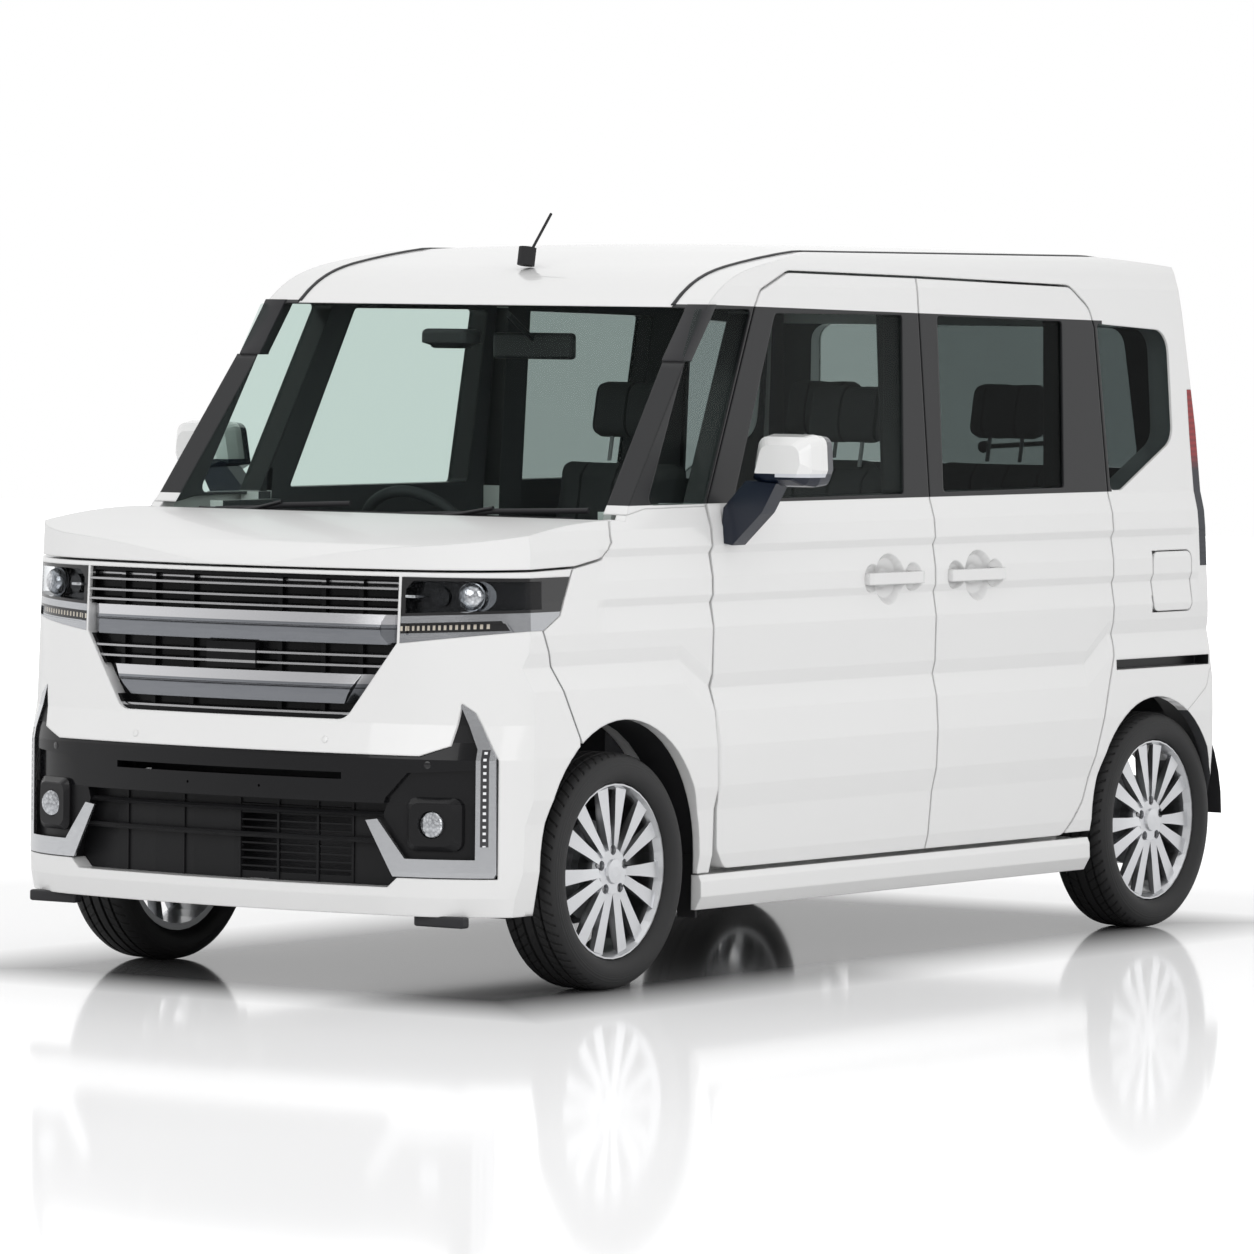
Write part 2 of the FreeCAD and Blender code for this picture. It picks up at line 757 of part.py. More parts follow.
def bonnet_arms():
    arms = []
    for x in (bonnet_hinge_x, -bonnet_hinge_x):
        arm = block(x - 5, x + 5, size("cowl") - 60, bonnet_hinge.y + 9, bonnet_hinge.z - 9, bonnet_hinge.z + 9)
        bore = crosswise(bonnet_hinge, pin_radius + size("pin_clearance"), x - 20, x + 20, True)
        arms.append(arm.cut(bore))
    return arms


def cowl_panel():
    # Cowl and bulkhead, with the ears and pins of the bonnet's hinges.
    base = size("screen_base")
    wall = size("firewall")
    joint = size("bulkhead_joint_height")
    line = [
        (size("cowl") + 4, 1050), (size("cowl") + 4, 1300), (base + 4, 1300), (base + 4, 1076), (wall, 1034),
        (wall, joint), (wall - 40, joint), (wall - 40, 1010), (base - 10, 1040),
    ]
    lip = crosswise(bonnet_hinge, cowl_lip, -559, 559).common(block(-600, 600, -1200, bonnet_hinge.y, 1050, 1200))
    panel = envelope.common(slab(line, on_side, -559, 559).fuse(lip))
    notches, ears = [], []
    for x in (bonnet_hinge_x, -bonnet_hinge_x):
        notches.append(block(x - 12, x + 12, size("cowl") - 30, bonnet_hinge.y + 18, 1040, 1200))
        ears += [block(low, low + 8, bonnet_hinge.y - 10, bonnet_hinge.y + 19, 1042, bonnet_hinge.z + 10)
                 for low in (x - 20, x + 12)]
        ears.append(crosswise(bonnet_hinge, pin_radius, x - 18, x + 18, True))
    return panel.cut(notches).multiFuse(ears)


def front_frame():
    # Bulkhead, long rails, crossbeam behind the bumper, radiator posts and strut towers.
    inner, outer = size("rail_inner"), size("rail_outer")
    low, high = size("rail_low"), size("rail_high")
    behind_bumper = shell_behind(envelope, 60 + size("trim_clearance"))
    pad = block(-150, 150, -half_length, -1600, 584, 632).common(behind_bumper)
    shapes = [cowl_panel(), pad]
    clear = shell_behind(envelope, 66)
    shapes.append(block(-440, 440, -half_length, -1570, 580, 636).common(clear))
    strut_low, strut_high = kingpin_line()
    lean = (strut_high - strut_low).normalize()
    for side in (1, -1):
        rail = block(inner, outer, -1600, size("firewall") - 40, low, high).common(clear)
        foot = block(inner, outer, size("firewall") - 80, size("firewall") - 40, high, size("bulkhead_joint_height") + 60)
        post = block(inner, outer, -1600, -1560, low, 640).common(clear)
        leg = block(inner, outer, front_axle + 80, size("firewall") - 40 - size("trim_clearance"), 205, low)
        top = strut_high.z
        tower = block(outer - 14, 560, front_axle - 84, front_axle + 84, 640, top + 8)
        side_wall = block(outer - 14, outer, front_axle - 84, front_axle + 84, high - 10, 660)
        room = rod(strut_low, strut_high - lean * 12, 76)
        hole = rod(strut_low, strut_high + lean * 30, 10.06, True)
        tower = tower.cut([room, hole]).fuse(side_wall)
        brace = block(520, 559, front_axle + 80, size("firewall") - 30, 704, 744)
        for shape in (rail, foot, post, leg, tower, brace):
            shapes.append(shape if side > 0 else mirrored(shape))
    return shapes[0].multiFuse(shapes[1:])


nose_line = [
    (-half_length - 20, size("lip_low")), (-half_length - 20, size("lamp_top_height") - 12),
    (-1302, size("lamp_top_height") - 2), (-1356, size("lamp_bottom_height") + 30),
    (-1424, size("lamp_bottom_height") - 4), (-1284, 600), (-1284, size("lip_low")),
]
nose_zone = slab(nose_line, on_side, -half_width - 20, half_width + 20)
grille_wide, grille_foot_wide = 455, 330
grille_shoulder, grille_low = 826, 646
grille_line = [
    (-grille_wide, size("lamp_top_height") - 20), (-grille_wide, grille_shoulder), (-grille_foot_wide, grille_low, 40),
    (grille_foot_wide, grille_low, 40), (grille_wide, grille_shoulder), (grille_wide, size("lamp_top_height") - 20),
]
intake_half = [(455, size("intake_low")), (480, 285), (690, 285), (690, 560), (640, 668), (612, 690), (596, 592), (530, 568)]
intake_line = intake_half + [(-x, z) for x, z in reversed(intake_half)]
lamp_line = [
    (462, size("lamp_top_height") - 20), (760, size("lamp_top_height") - 20), (760, size("lamp_bottom_height") + 2),
    (462, grille_shoulder),
]
lamp_window_line = [(474, 896), (742, 908), (742, 972), (492, 972), (474, 952)]


def shell_behind(shape, depth):
    # What lies deeper than this behind the front face.
    moved = shape.copy()
    moved.translate(Vector(0, depth, 0))
    return moved


face_form = plan_shape.common(block(-757, 757, -half_length - 10, -1200, 150, 1060))
nose_core = envelope.common(nose_zone)
nose_inner = shell_behind(envelope, 60).common(block(-670, 670, -half_length, -1200, 0, 1200))


def front_bumper():
    shell = nose_core.cut(nose_inner)
    for axle_side in (1, -1):
        shell = shell.cut(arch_opening(front_axle, axle_side)).cut(wheel_well(front_axle, axle_side))
    shell = shell.cut(slab(grille_line, on_front, -half_length - 50, -1300))
    shell = shell.cut(slab(intake_line, on_front, -half_length - 50, -1300))
    lamp = slab(lamp_line, on_front, -half_length - 50, -1100)
    return shell.cut(lamp).cut(mirrored(lamp))


def headlamp(side):
    # Housing with a sunken window above and a slotted strip below, and a projector in the window.
    lamp = slab(shrunk(lamp_line, on_front, size("trim_clearance")), on_front, -half_length - 50, -1280)
    body = largest(nose_core.cut(nose_inner).common(lamp))
    window = slab(lamp_window_line, on_front, -half_length - 50, -1290).cut(shell_behind(nose_core, 46))
    slot = slab([(478, 846), (700, 856), (690, 876), (478, 870)], on_front, -half_length - 50, -1300)
    slot = slot.cut(shell_behind(nose_core, 7))
    body = body.cut([window, slot])
    forward = Vector(0.25, -1, 0)
    bulb_place = Vector(606, -1530, 936)
    projector = lathe([(0, 36), (20, 34), (21, 29), (31, 20), (34, 8)], bulb_place, 20, forward)
    reflector = lathe([(0, 24), (16, 22)], Vector(534, -1556, 934), 16, forward)
    return largest(body.multiFuse([projector, reflector]))


def headlamp_lens():
    # The clear cover over the lamp's window.
    zone = slab(shrunk(lamp_window_line, on_front, size("trim_clearance")), on_front, -half_length - 50, -1290)
    return largest(nose_core.cut(shell_behind(nose_core, 3)).common(zone))


def behind_face(depth):
    moved = face_form.copy()
    moved.translate(Vector(0, depth, 0))
    return moved


def front_layer(set_back, depth):
    return behind_face(set_back).cut(behind_face(set_back + depth))


nose_radius = (size("nose_half_width") ** 2 + size("nose_sag") ** 2) / (2 * size("nose_sag"))


def nose_bar(profile, low_x, high_x, spans=8):
    # A bar that follows the curve of the nose in short spans: profile points are (depth, height).
    wires = []
    for i in range(spans + 1):
        x = low_x + (high_x - low_x) * i / spans
        y = -half_length + nose_radius - math.sqrt(nose_radius ** 2 - x ** 2)
        corners = [Vector(x, y + depth, height) for depth, height in profile]
        wires.append(Part.makePolygon(corners + [corners[0]]))
    return Part.makeLoft(wires, True, True)


def nose_sweep(profile, reach):
    # The same, truly round, for the bright bars.
    centre = Vector(0, -half_length + nose_radius, 0)
    half_turn = math.degrees(math.asin(reach / nose_radius))
    corners = [Vector(0, -half_length + depth, height) for depth, height in profile]
    face = Part.Face(Part.makePolygon(corners + [corners[0]]))
    face.rotate(centre, Vector(0, 0, 1), -half_turn)
    return face.revolve(centre, Vector(0, 0, 1), 2 * half_turn)


slat_heights = (952, 926, 904, 795, 771, 659)
rib_places = (130, 250, 350)
face_setback = 31


def grille():
    # Rim, back wall with upright ribs, thin slats and a plain panel between the bars.
    zone = slab(shrunk(grille_line, on_front, size("trim_clearance")), on_front, -half_length - 50, -1400)
    rim = zone.cut(slab(shrunk(grille_line, on_front, 9), on_front, -half_length - 60, -1390))
    frame = rim.common(front_layer(10, 48))
    near, far = face_setback + 4, face_setback + 30
    reach = grille_wide + 8
    pieces = [nose_bar([(far, 630), (far, 1000), (far + 7, 1000), (far + 7, 630)], -reach, reach)]
    for height in slat_heights:
        slat = [(near, height - 3), (near, height + 2), (far + 1, height + 6), (far + 1, height - 6)]
        pieces.append(nose_bar(slat, -reach, reach))
    rib = [(near + 14, 630), (near + 14, 1000), (far + 1, 1000), (far + 1, 630)]
    for place in rib_places:
        pieces += [nose_bar(rib, x - 6, x + 6, 1) for x in (place, -place)]
    panel = [(near - 2, 756), (near - 2, 816), (far + 1, 816), (far + 1, 756)]
    pieces.append(nose_bar(panel, -72, 72, 2))
    pieces = [item.common(zone) for item in pieces]
    space = size("trim_clearance")
    rooms = []
    for middle in (size("upper_bar_height"), size("lower_bar_height")):
        low, high = middle - size("bar_half_height") - space, middle + size("bar_half_height") + space
        room = [(0, low), (0, high), (far - 0.1, high), (far - 0.1, low)]
        rooms.append(nose_bar(room, -grille_wide - 20, grille_wide + 20, 10))
    return frame.multiFuse(pieces).cut(rooms)


def bar_zone():
    # Where the bright bars lie: their ends are cut on a slope that follows the grille's sides.
    slope = (grille_wide - grille_foot_wide) / (grille_shoulder - grille_low)
    low, high = 560, 1050

    def ends(inset, y):
        wide = grille_wide - inset
        foot = wide - slope * (grille_shoulder - low)
        wire = outline([(-wide, high), (-wide, grille_shoulder), (-foot, low), (foot, low), (wide, grille_shoulder),
                        (wide, high)], on_front)
        wire.translate(Vector(0, y, 0))
        return wire

    front_y, back_y = -half_length + 62, -half_length + 98
    ahead = slab(ends(40, 0), on_front, -half_length, front_y)
    slant = Part.makeLoft([ends(40, front_y), ends(2, back_y)], True, True)
    return ahead.multiFuse([slant, slab(ends(2, 0), on_front, back_y, back_y + 60)])


def grille_bars():
    # Two bars, each of three facets with a fine ridge.
    bars, zone = [], bar_zone()
    half = size("bar_half_height")
    back = face_setback + 28.2
    for middle in (size("upper_bar_height"), size("lower_bar_height")):
        profile = [
            (back, middle + half), (face_setback + 4, middle + half), (face_setback - 6, middle + 6),
            (face_setback - 9, middle + 4), (face_setback - 9, middle + 1), (face_setback - 5, middle - 1),
            (face_setback - 3, middle - 12), (face_setback + 8, middle - half), (back, middle - half),
        ]
        bars.append(largest(nose_sweep(profile, size("nose_half_width")).common(zone)))
    return Part.makeCompound(bars)


def plate_holes(height, y, depth):
    # Two holes for the screws of a number plate, from the face inwards.
    half = size("plate_hole_spacing") / 2
    inward = 1 if y < 0 else -1
    return [rod((x, y - inward * 10, height), (x, y + inward * depth, height), size("plate_hole_radius"), True)
            for x in (half, -half)]


pod_line = [(486, 285), (478, 330), (432, 428), (446, 470), (500, 528), (690, 540), (690, 285)]


fog_lamp_radius, fog_lamp_sides = 32, 20
fog_lamp_back = -half_length + 100
fog_collar_half = 62


def fog_bezel():
    # A rounded square collar with a round hole for the lamp.
    x, z = size("fog_lamp_x"), size("fog_lamp_height")
    wires, slope = [], 0.36
    for half, back in ((fog_collar_half, fog_lamp_back + 30), (fog_collar_half, fog_lamp_back - 20),
                       (fog_collar_half - 12, fog_lamp_back - 33)):
        square = [(x - half, z - half, 22), (x + half, z - half, 22), (x + half, z + half, 22), (x - half, z + half, 22)]
        wires.append(outline(square, lambda a, b, y=back: Vector(a, y + (a - x) * slope, b)))
    hole = lathe([(0, fog_lamp_radius), (100, fog_lamp_radius)], Vector(x, fog_lamp_back, z), fog_lamp_sides,
                 Vector(0, -1, 0))
    return Part.makeLoft(wires, True, True).cut(hole).fuse(fog_lamp())


def bumper_insert():
    # Black band with a slot, fog lamp pods, two bars across the intake and the wall behind them.
    zone = slab(shrunk(intake_line, on_front, size("trim_clearance")), on_front, -half_length - 50, -1330)
    band = slab([(-700, 456), (700, 456), (700, 720), (-700, 720)], on_front, -half_length - 20, -1330)
    pod = slab(pod_line, on_front, -half_length - 20, -1330)
    pods = pod.fuse(mirrored(pod))
    fascia = zone.common(band.cut(pods)).common(front_layer(6, 40))
    bezel = fog_bezel()
    pods = zone.common(pods).common(front_layer(20, 36))
    shapes = [pods, zone.common(bezel.fuse(mirrored(bezel)))]
    for height in (428, 367):
        profile = [(30, height - 6), (24, height), (30, height + 6), (44, height + 6), (44, height - 6)]
        shapes.append(nose_bar(profile, -500, 500).common(zone))
    low = size("intake_low") + 1
    wall = nose_bar([(52, low), (52, 452), (40, 452), (40, 470), (60, 470), (60, low)], -484, 484).common(zone)
    window = block(24, 330, -half_length, -1500, 280, 440)
    shapes.append(wall.cut(window))
    for height in range(290, 436, 18):
        shapes.append(nose_bar([(50, height), (50, height + 4), (60, height + 4), (60, height)], 20, 334, 2))
    for x in (-330, -150, 20, 130, 240, 334):
        shapes.append(nose_bar([(48, low), (48, 452), (56, 452), (56, low)], x - 3, x + 3, 1).common(zone))
    slot = block(-330, 330, -half_length - 20, -1500, 508, 524)
    return fascia.multiFuse(shapes).cut([slot] + plate_holes(size("front_plate_height"), -half_length, 40))


def fog_lamp():
    # A round lamp at the bottom of the collar's hole.
    x, z = size("fog_lamp_x"), size("fog_lamp_height")
    radius = fog_lamp_radius - size("trim_clearance")
    rings = [(-1, radius), (22, radius), (24, radius - 5), (28, radius - 14)]
    return lathe(rings, Vector(x, fog_lamp_back, z), fog_lamp_sides, Vector(0, -1, 0))


def fog_trims():
    # The bright angle under the lamp and the arrow up to the side of the bumper, as one piece.
    line = [(470, 288), (684, 288), (688, 296), (686, 592), (628, 700), (608, 692), (652, 586), (652, 330), (500, 330),
            (430, 420), (400, 416)]
    zone = slab(line, on_front, -half_length - 50, -1450)
    zone = zone.common(slab(shrunk(intake_line, on_front, size("trim_clearance")), on_front, -half_length - 50, -1450))
    half = fog_collar_half + 1
    x, z = size("fog_lamp_x"), size("fog_lamp_height")
    room = block(x - half, x + half, -half_length - 50, -1400, z - half, z + half)
    return pair(largest(zone.cut(room).common(front_layer(-2, 7.7))))


fender_line = [
    (-1424 + gap, size("lamp_bottom_height") - 4), (-1356 + gap, size("lamp_bottom_height") + 30),
    (-1302 + gap, size("lamp_top_height") - 2), (-1290, size("lamp_top_height") + 4 - gap),
    (-1170, size("lamp_top_height") + 22 - gap), (size("cowl") + 4, size("lamp_top_height") + 60),
    (size("cowl") + 4, 1105), (-980, belt - 4), (front_edge - gap / 2, belt - 2), (front_edge - gap / 2, 700),
    (front_edge + 11, sill + 40), (front_edge + 11, sill - 4), (-1100, sill - 4), (-1284 + gap, 600),
]


def front_fender():
    lip = crosswise(bonnet_hinge, cowl_lip, 560, 800).common(block(500, 900, -1200, bonnet_hinge.y, 1050, 1105))
    zone = slab(fender_line, on_side, 560, 800).fuse(lip)
    inner = section_form.copy()
    inner.translate(Vector(-size("panel_thickness"), 0, 0))
    skin = envelope.common(zone)
    return skin.cut([wheel_well(front_axle, 1), arch_opening(front_axle, 1), door_hinge_space(), inner])


screen_line = [
    (-640, 1086), (640, 1086), (596, size("header_height")), (-596, size("header_height")),
]
fuel_lid_line = [(1332, 826, 22), (1524, 826, 22), (1524, 980, 22), (1332, 980, 22)]


def rear_bumper_zone(space=0.0):
    # The bumper's joint with the quarter panel: level above, then sloping to the wheel arch.
    line = [(1482, 0), (1482, 560), (1588, 622, 30), (1606, 668), (half_length + 60, 668), (half_length + 60, 0)]
    return slab(shrunk(line, on_side, space), on_side, -800, 800)


def rail_groove():
    return block(half_width - 52, 800, rear_edge + gap / 2, 1604, size("rail_groove_low"), size("rail_groove_high"))


def fuel_pivot(radius, low, high, exact=False):
    return upright(half_width - 24, 1337, radius, low, high, exact)


def fuel_hinge():
    ears = [block(660, half_width - 24, 1336, 1341, z, z + 6) for z in (852, 944)]
    return ears + [fuel_pivot(3, 837, 858, True), fuel_pivot(3, 944, 965, True)]


def body_frame():
    # The left side frame: windscreen pillar, roof side, rear quarter and tail ring.
    left = envelope.common(block(0, 800, size("cowl"), half_length + 20, size("floor_top") - 60, 1900))
    screen = slab(screen_line, on_front, -half_length, -500)
    tools = [
        body_cabin, engine_bay, rear_bumper_zone(), screen, rail_groove(),
        block(-10, 560, -half_length, half_length + 20, 0, 1900), tail_lamp(),
        block(-10, 800, size("cowl") - 10, front_edge, 0, 700),
        slab(roof_line, on_side, 0, 560),
        slab(shrunk(fender_line, on_side, -size("trim_clearance")), on_side, 560, 800),
        side_slab(front_door_line, 1, low=556, inset=-gap / 2),
        side_slab(sliding_door_line, 1, low=556, inset=-gap / 2), door_hinge_space(),
        side_slab(quarter_front_line, 1, low=500),
        side_slab(quarter_rear_line, 1, low=500),
        wheel_well(rear_axle, 1), arch_opening(rear_axle, 1), wheel_well(front_axle, 1),
        slab(shrunk(tailgate_line, on_front, -size("lid_gap")), on_front, 1400, half_length + 60),
    ]
    return largest(left.cut(tools))


def steering_spin():
    angle = math.radians(size("column_angle"))
    return Vector(0, math.cos(angle), math.sin(angle))


def members():
    # Sill, middle post and roof rail inside the doors, on the left side.
    floor_top = size("floor_top")
    sill_bar = slab([(562, 235), (700, 205), (700, sill - 10), (636, sill - 8), (636, floor_top), (562, floor_top)],
                    on_front, front_edge - 24, 1000)
    post = slab([(596, floor_top - 2), (636, floor_top - 2), (636, belt), (598, window_top + 20),
                 (562, window_top + 20), (586, belt)], on_front, middle_edge - 45, middle_edge + 55)
    rail = slab([(560, 1676), (575, 1640), (586, 1600), (560, 1600)], on_front, -520, 1130)
    hinge_post = block(600, 655, front_edge - 60, front_edge - 10, sill - 10, belt + 4)
    inner_wall = block(560, 600, size("firewall") - 40, front_edge - 12, 322, belt - 14)
    well = wheel_well(front_axle, 1)
    return [sill_bar, post, rail, hinge_post.cut(well), inner_wall.cut(well)] + door_hinges()


# Wheels

def wheel_centre(axle):
    return Vector(wheel_x, axle, axle_height)


wheel_sides = 36


def tyre():
    # Left front: sidewalls, rounded shoulders and tread face, open in the middle for the rim.
    half = size("tyre_width") / 2
    tread, bead = size("tyre_radius"), size("rim_radius")
    seat = size("rim_width") / 2 - 1 - size("trim_clearance")
    lip = bead + size("flange_height") + size("trim_clearance")
    quarter = [(seat, lip), (half - 3, bead + 21), (half, bead + 40), (half - 6, tread - 16), (half - 26, tread)]
    profile = [(-along, radius) for along, radius in quarter] + quarter[::-1]
    centre = wheel_centre(front_axle)
    bore = lathe([(-half, bead), (half, bead)], centre, wheel_sides)
    return lathe(profile, centre, wheel_sides).cut(bore)


def rim(centre):
    # Barrel with both flanges: the tyre's beads sit between them.
    seat = size("rim_radius")
    half = size("rim_width") / 2
    lip = seat + size("flange_height")
    outer = lathe([(-half - 6, lip), (-half, lip), (-half + 1, seat), (half - 1, seat), (half, lip), (half + 6, lip - 2)],
                  centre, wheel_sides)
    inner = lathe([(-half - 7, seat - 7), (half - 12, seat - 7), (half + 7, lip - 5)], centre, wheel_sides)
    return outer.cut(inner)


def spoke(angle, out_face):
    # One spoke: broad and thin at the rim, narrow and deep at the hub, lofted between two sections.
    root, tip = size("hub_radius") - 8, size("rim_radius") - 3
    hub_half, rim_half = size("spoke_hub_width") / 2, size("spoke_rim_width") / 2
    sections = []
    for radius, half, depth, face, lean in (
            (root, hub_half, 34, out_face + 4, 0), (root + 62, hub_half + 3, 28, out_face, 3),
            (tip, rim_half, 15, out_face - 5, 7)):
        sections.append(Part.makePolygon([
            Vector(face, -half, radius), Vector(face - 5 + lean, half, radius),
            Vector(face - depth, half - 7, radius), Vector(face - depth, -half + 7, radius),
            Vector(face, -half, radius)]))
    blade = Part.makeLoft(sections, True, True)
    blade.rotate(Vector(0, 0, 0), Vector(1, 0, 0), angle)
    return blade


def wheel():
    # Left front: seven pairs of spokes between hub and rim, with sunken nut seats and a plain cap.
    centre = wheel_centre(front_axle)
    bore, hub = size("hub_bore_radius"), size("hub_radius")
    face = size("rim_width") / 2 + 1
    hub_sides = 20
    boss = lathe([(6, hub + 14), (face - 14, hub + 6), (face + 2, hub - 6)], centre, hub_sides)
    drum = lathe([(-26, size("disc_radius")), (-12, size("disc_radius")), (-11, hub + 14), (8, hub + 14)], centre, 32)
    cap = lathe([(face + 1, 31), (face + 8, 28), (face + 10, 12)], centre, hub_sides)
    pieces = [rim(centre), drum, cap]
    for i in range(int(size("spoke_pairs"))):
        for half_turn in (-0.5, 0.5):
            blade = spoke(360 * i / size("spoke_pairs") + half_turn * size("pair_angle"), face)
            blade.translate(centre)
            pieces.append(blade)
    solid = boss.multiFuse(pieces)
    across = Vector(1, 0, 0)
    holes = [rod(centre - across * 27, centre + across * (face - 20), bore, True)]
    nut_count = 5
    for i in range(nut_count):
        angle = 2 * math.pi * (i + 0.25) / nut_count
        out = Vector(0, math.cos(angle), math.sin(angle)) * size("stud_circle_radius")
        holes.append(rod(centre + out + across * (face - 14), centre + out + across * (face + 20), 12))
    return solid.cut(holes)


# Running gear

def kingpin_line():
    # Left kingpin: from the lower ball joint to the strut's top mount.
    low = Vector(size("kingpin_spacing") / 2, front_axle, 165)
    high = Vector(low.x - size("kingpin_top_offset"), front_axle, size("kingpin_top_height"))
    return low, high


kingpin_radius = 12


def knuckle():
    low, high = kingpin_line()
    lean = (high - low).normalize()
    spindle_radius = size("hub_bore_radius") - 0.06
    spindle = rod((wheel_x - 58, front_axle, axle_height), (wheel_x + 32, front_axle, axle_height), spindle_radius,
                  True)
    collar = rod((wheel_x - 58, front_axle, axle_height), (wheel_x - 32, front_axle, axle_height), 38)
    carrier = block(wheel_x - 98, wheel_x - 42, front_axle - 36, front_axle + 36, axle_height - 82, axle_height + 90)
    kingpin = rod(low - lean * 14, low + lean * 60, kingpin_radius, True)
    strut = rod(low + lean * 150, low + lean * 425, 22)
    piston = rod(low + lean * 420, high + lean * 20, 10, True)
    spring_seat = rod(low + lean * 420, low + lean * 428, 60)
    spring = rod(low + lean * 426, high - lean * 30, 44)
    arm = block(wheel_x - 96, wheel_x - 66, front_axle + 20, front_axle + 150, axle_height - 60, axle_height - 40)
    caliper = block(wheel_x - 44, wheel_x - 6, front_axle + 74, front_axle + 140, axle_height - 50, axle_height + 60)
    room = size("disc_radius") + 5
    window = lathe([(-31, room), (-7, room)], wheel_centre(front_axle), 32)
    bridge = block(wheel_x - 60, wheel_x - 42, front_axle + 30, front_axle + 140, axle_height - 30, axle_height + 30)
    return carrier.multiFuse([spindle, collar, kingpin, strut, piston, spring_seat, spring, arm, bridge,
                              caliper.cut(window)])


def front_suspension():
    low, high = kingpin_line()
    lean = (high - low).normalize()
    eye_bore = rod(low - lean * 40, low + lean * 40, kingpin_radius + size("pin_clearance"), True)
    shapes = []
    for side in (1, -1):
        eye = upright(low.x, low.y, 26, low.z - 10, low.z + 10)
        arm = slab([(low.x - 12, front_axle - 24), (low.x - 12, front_axle + 24), (300, front_axle + 150),
                    (300, front_axle - 40)], on_plan, low.z - 10, low.z + 10)
        arm = arm.fuse(eye).cut(eye_bore)
        shapes.append(arm if side > 0 else mirrored(arm))
    inner = size("rail_inner")
    beam = block(-inner - 50, inner + 50, front_axle + 90, front_axle + 160, low.z - 14, 205)
    plate = block(-310, 310, front_axle - 60, front_axle + 100, low.z - 14, low.z + 14)
    rack = rod((-330, front_axle + 150, 222), (330, front_axle + 150, 222), 22)
    shapes += [beam, plate, rack.cut(block(-inner - 60, -inner + 1, -2000, 0, 200, 300))]
    return shapes


def rear_axle_beam():
    reach = wheel_x - 62
    beam = block(-470, 470, rear_axle - 190, rear_axle - 120, 210, 280)
    shapes = [beam]
    under_load = size("load_floor_top") - size("floor_thickness")
    under_floor = size("floor_top") - size("floor_thickness")
    for side in (1, -1):
        arm = slab([(rear_axle - 420, 250), (rear_axle - 420, 290), (rear_axle - 360, 292), (rear_axle + 40, 320),
                    (rear_axle + 40, 240), (rear_axle - 100, 215)], on_side, 440, 490)
        bracket = block(446, 484, rear_axle - 415, rear_axle - 380, 280, under_floor)
        hub = rod((480, rear_axle, axle_height), (reach, rear_axle, axle_height), 42)
        spindle = rod((reach - 5, rear_axle, axle_height), (wheel_x + 32, rear_axle, axle_height),
                      size("hub_bore_radius") - 0.06, True)
        shelf = block(300, 386, rear_axle - 180, rear_axle - 20, 210, 240)
        spring = upright(340, rear_axle - 70, 44, 240, under_load)
        damper = upright(366, rear_axle + 40, 18, 240, under_load)
        foot = block(346, 480, rear_axle + 20, rear_axle + 40, 240, 262)
        for shape in (arm, bracket, hub, spindle, shelf, spring, damper, foot):
            shapes.append(shape if side > 0 else mirrored(shape))
    return shapes


def exhaust():
    under_floor = size("floor_top") - size("floor_thickness")
    under_load = size("load_floor_top") - size("floor_thickness")
    pipe_radius, pipe_x, pipe_height = 18, -260, 183
    muffler = rod((-380, 1495, 335), (-60, 1495, 335), 60)
    pipe = rod((pipe_x, -900, pipe_height), (pipe_x, 1330, pipe_height), pipe_radius)
    rise = rod((pipe_x, 1326, pipe_height), (pipe_x, 1470, 310), pipe_radius)
    tail = rod((-350, 1500, 310), (-350, 1612, 296), pipe_radius)
    hangers = [block(-264, -256, y, y + 12, 190, under_floor) for y in (-600, 700)]
    hangers.append(block(-224, -212, 1489, 1501, 380, under_load))
    return muffler.multiFuse([pipe, rise, tail] + hangers)


# Cabin

def floor_pan():
    top, thick = size("floor_top"), size("floor_thickness")
    load = size("load_floor_top")
    step, wall = size("load_step"), size("firewall")
    joint = size("bulkhead_joint_height")
    line = [
        (wall - 40, joint), (wall - 40, top - thick), (step + thick, top - thick), (step + thick, load - thick),
        (1560, load - thick), (1560, load), (step, load), (step, top), (wall + 60, top), (wall - 10, top + 90),
        (wall - 10, joint),
    ]
    floor = slab(line, on_side, -560, 560)
    return floor.cut(wells)


def dashboard():
    face = size("firewall") + size("trim_clearance")
    line = [
        (face, size("floor_top") + 200), (face, belt - 99), (-1005, belt - 74),
        (-880, belt - 52, 30), (-690, belt - 62, 40), (-640, belt - 130, 40), (-660, belt - 330, 60),
        (-760, belt - 420), (-820, size("floor_top") + 200),
    ]
    body = slab(line, on_side, -560 + size("trim_clearance"), 560 - size("trim_clearance"))
    return body.common(slab(cabin_section(door_wall + 14, 300, 60), on_front, -1100, -500))


def seat(x, y, low, tilt=12):
    # Cushion, back and headrest over a plinth, all plain.
    wide, high = size("seat_width"), size("seat_height")
    base = slab([(y - 250, low + 150, 30), (y + 250, low + 150), (y + 250, low + 290), (y - 240, low + 300, 50)],
                on_side, x - wide / 2, x + wide / 2)
    back = slab([(-60, 0), (60, 0), (48, high, 30), (-38, high, 30)], on_side, x - wide / 2, x + wide / 2)
    rest = slab([(-42, high + 20), (42, high + 20), (36, high + 190, 25), (-30, high + 190, 25)],
                on_side, x - 125, x + 125)
    posts = [block(x + dx - 6, x + dx + 6, -6, 6, high - 10, high + 30) for dx in (-60, 60)]
    upper = back.multiFuse([rest] + posts)
    upper.rotate(Vector(0, 0, 0), Vector(1, 0, 0), -tilt)
    upper.translate(Vector(0, y + 240, low + 230))
    plinth = block(x - wide / 2 + 60, x + wide / 2 - 60, y - 180, y + 200, low, low + 152)
    return base.multiFuse([upper, plinth])


steering_centre = Vector(-345, -430, 985)


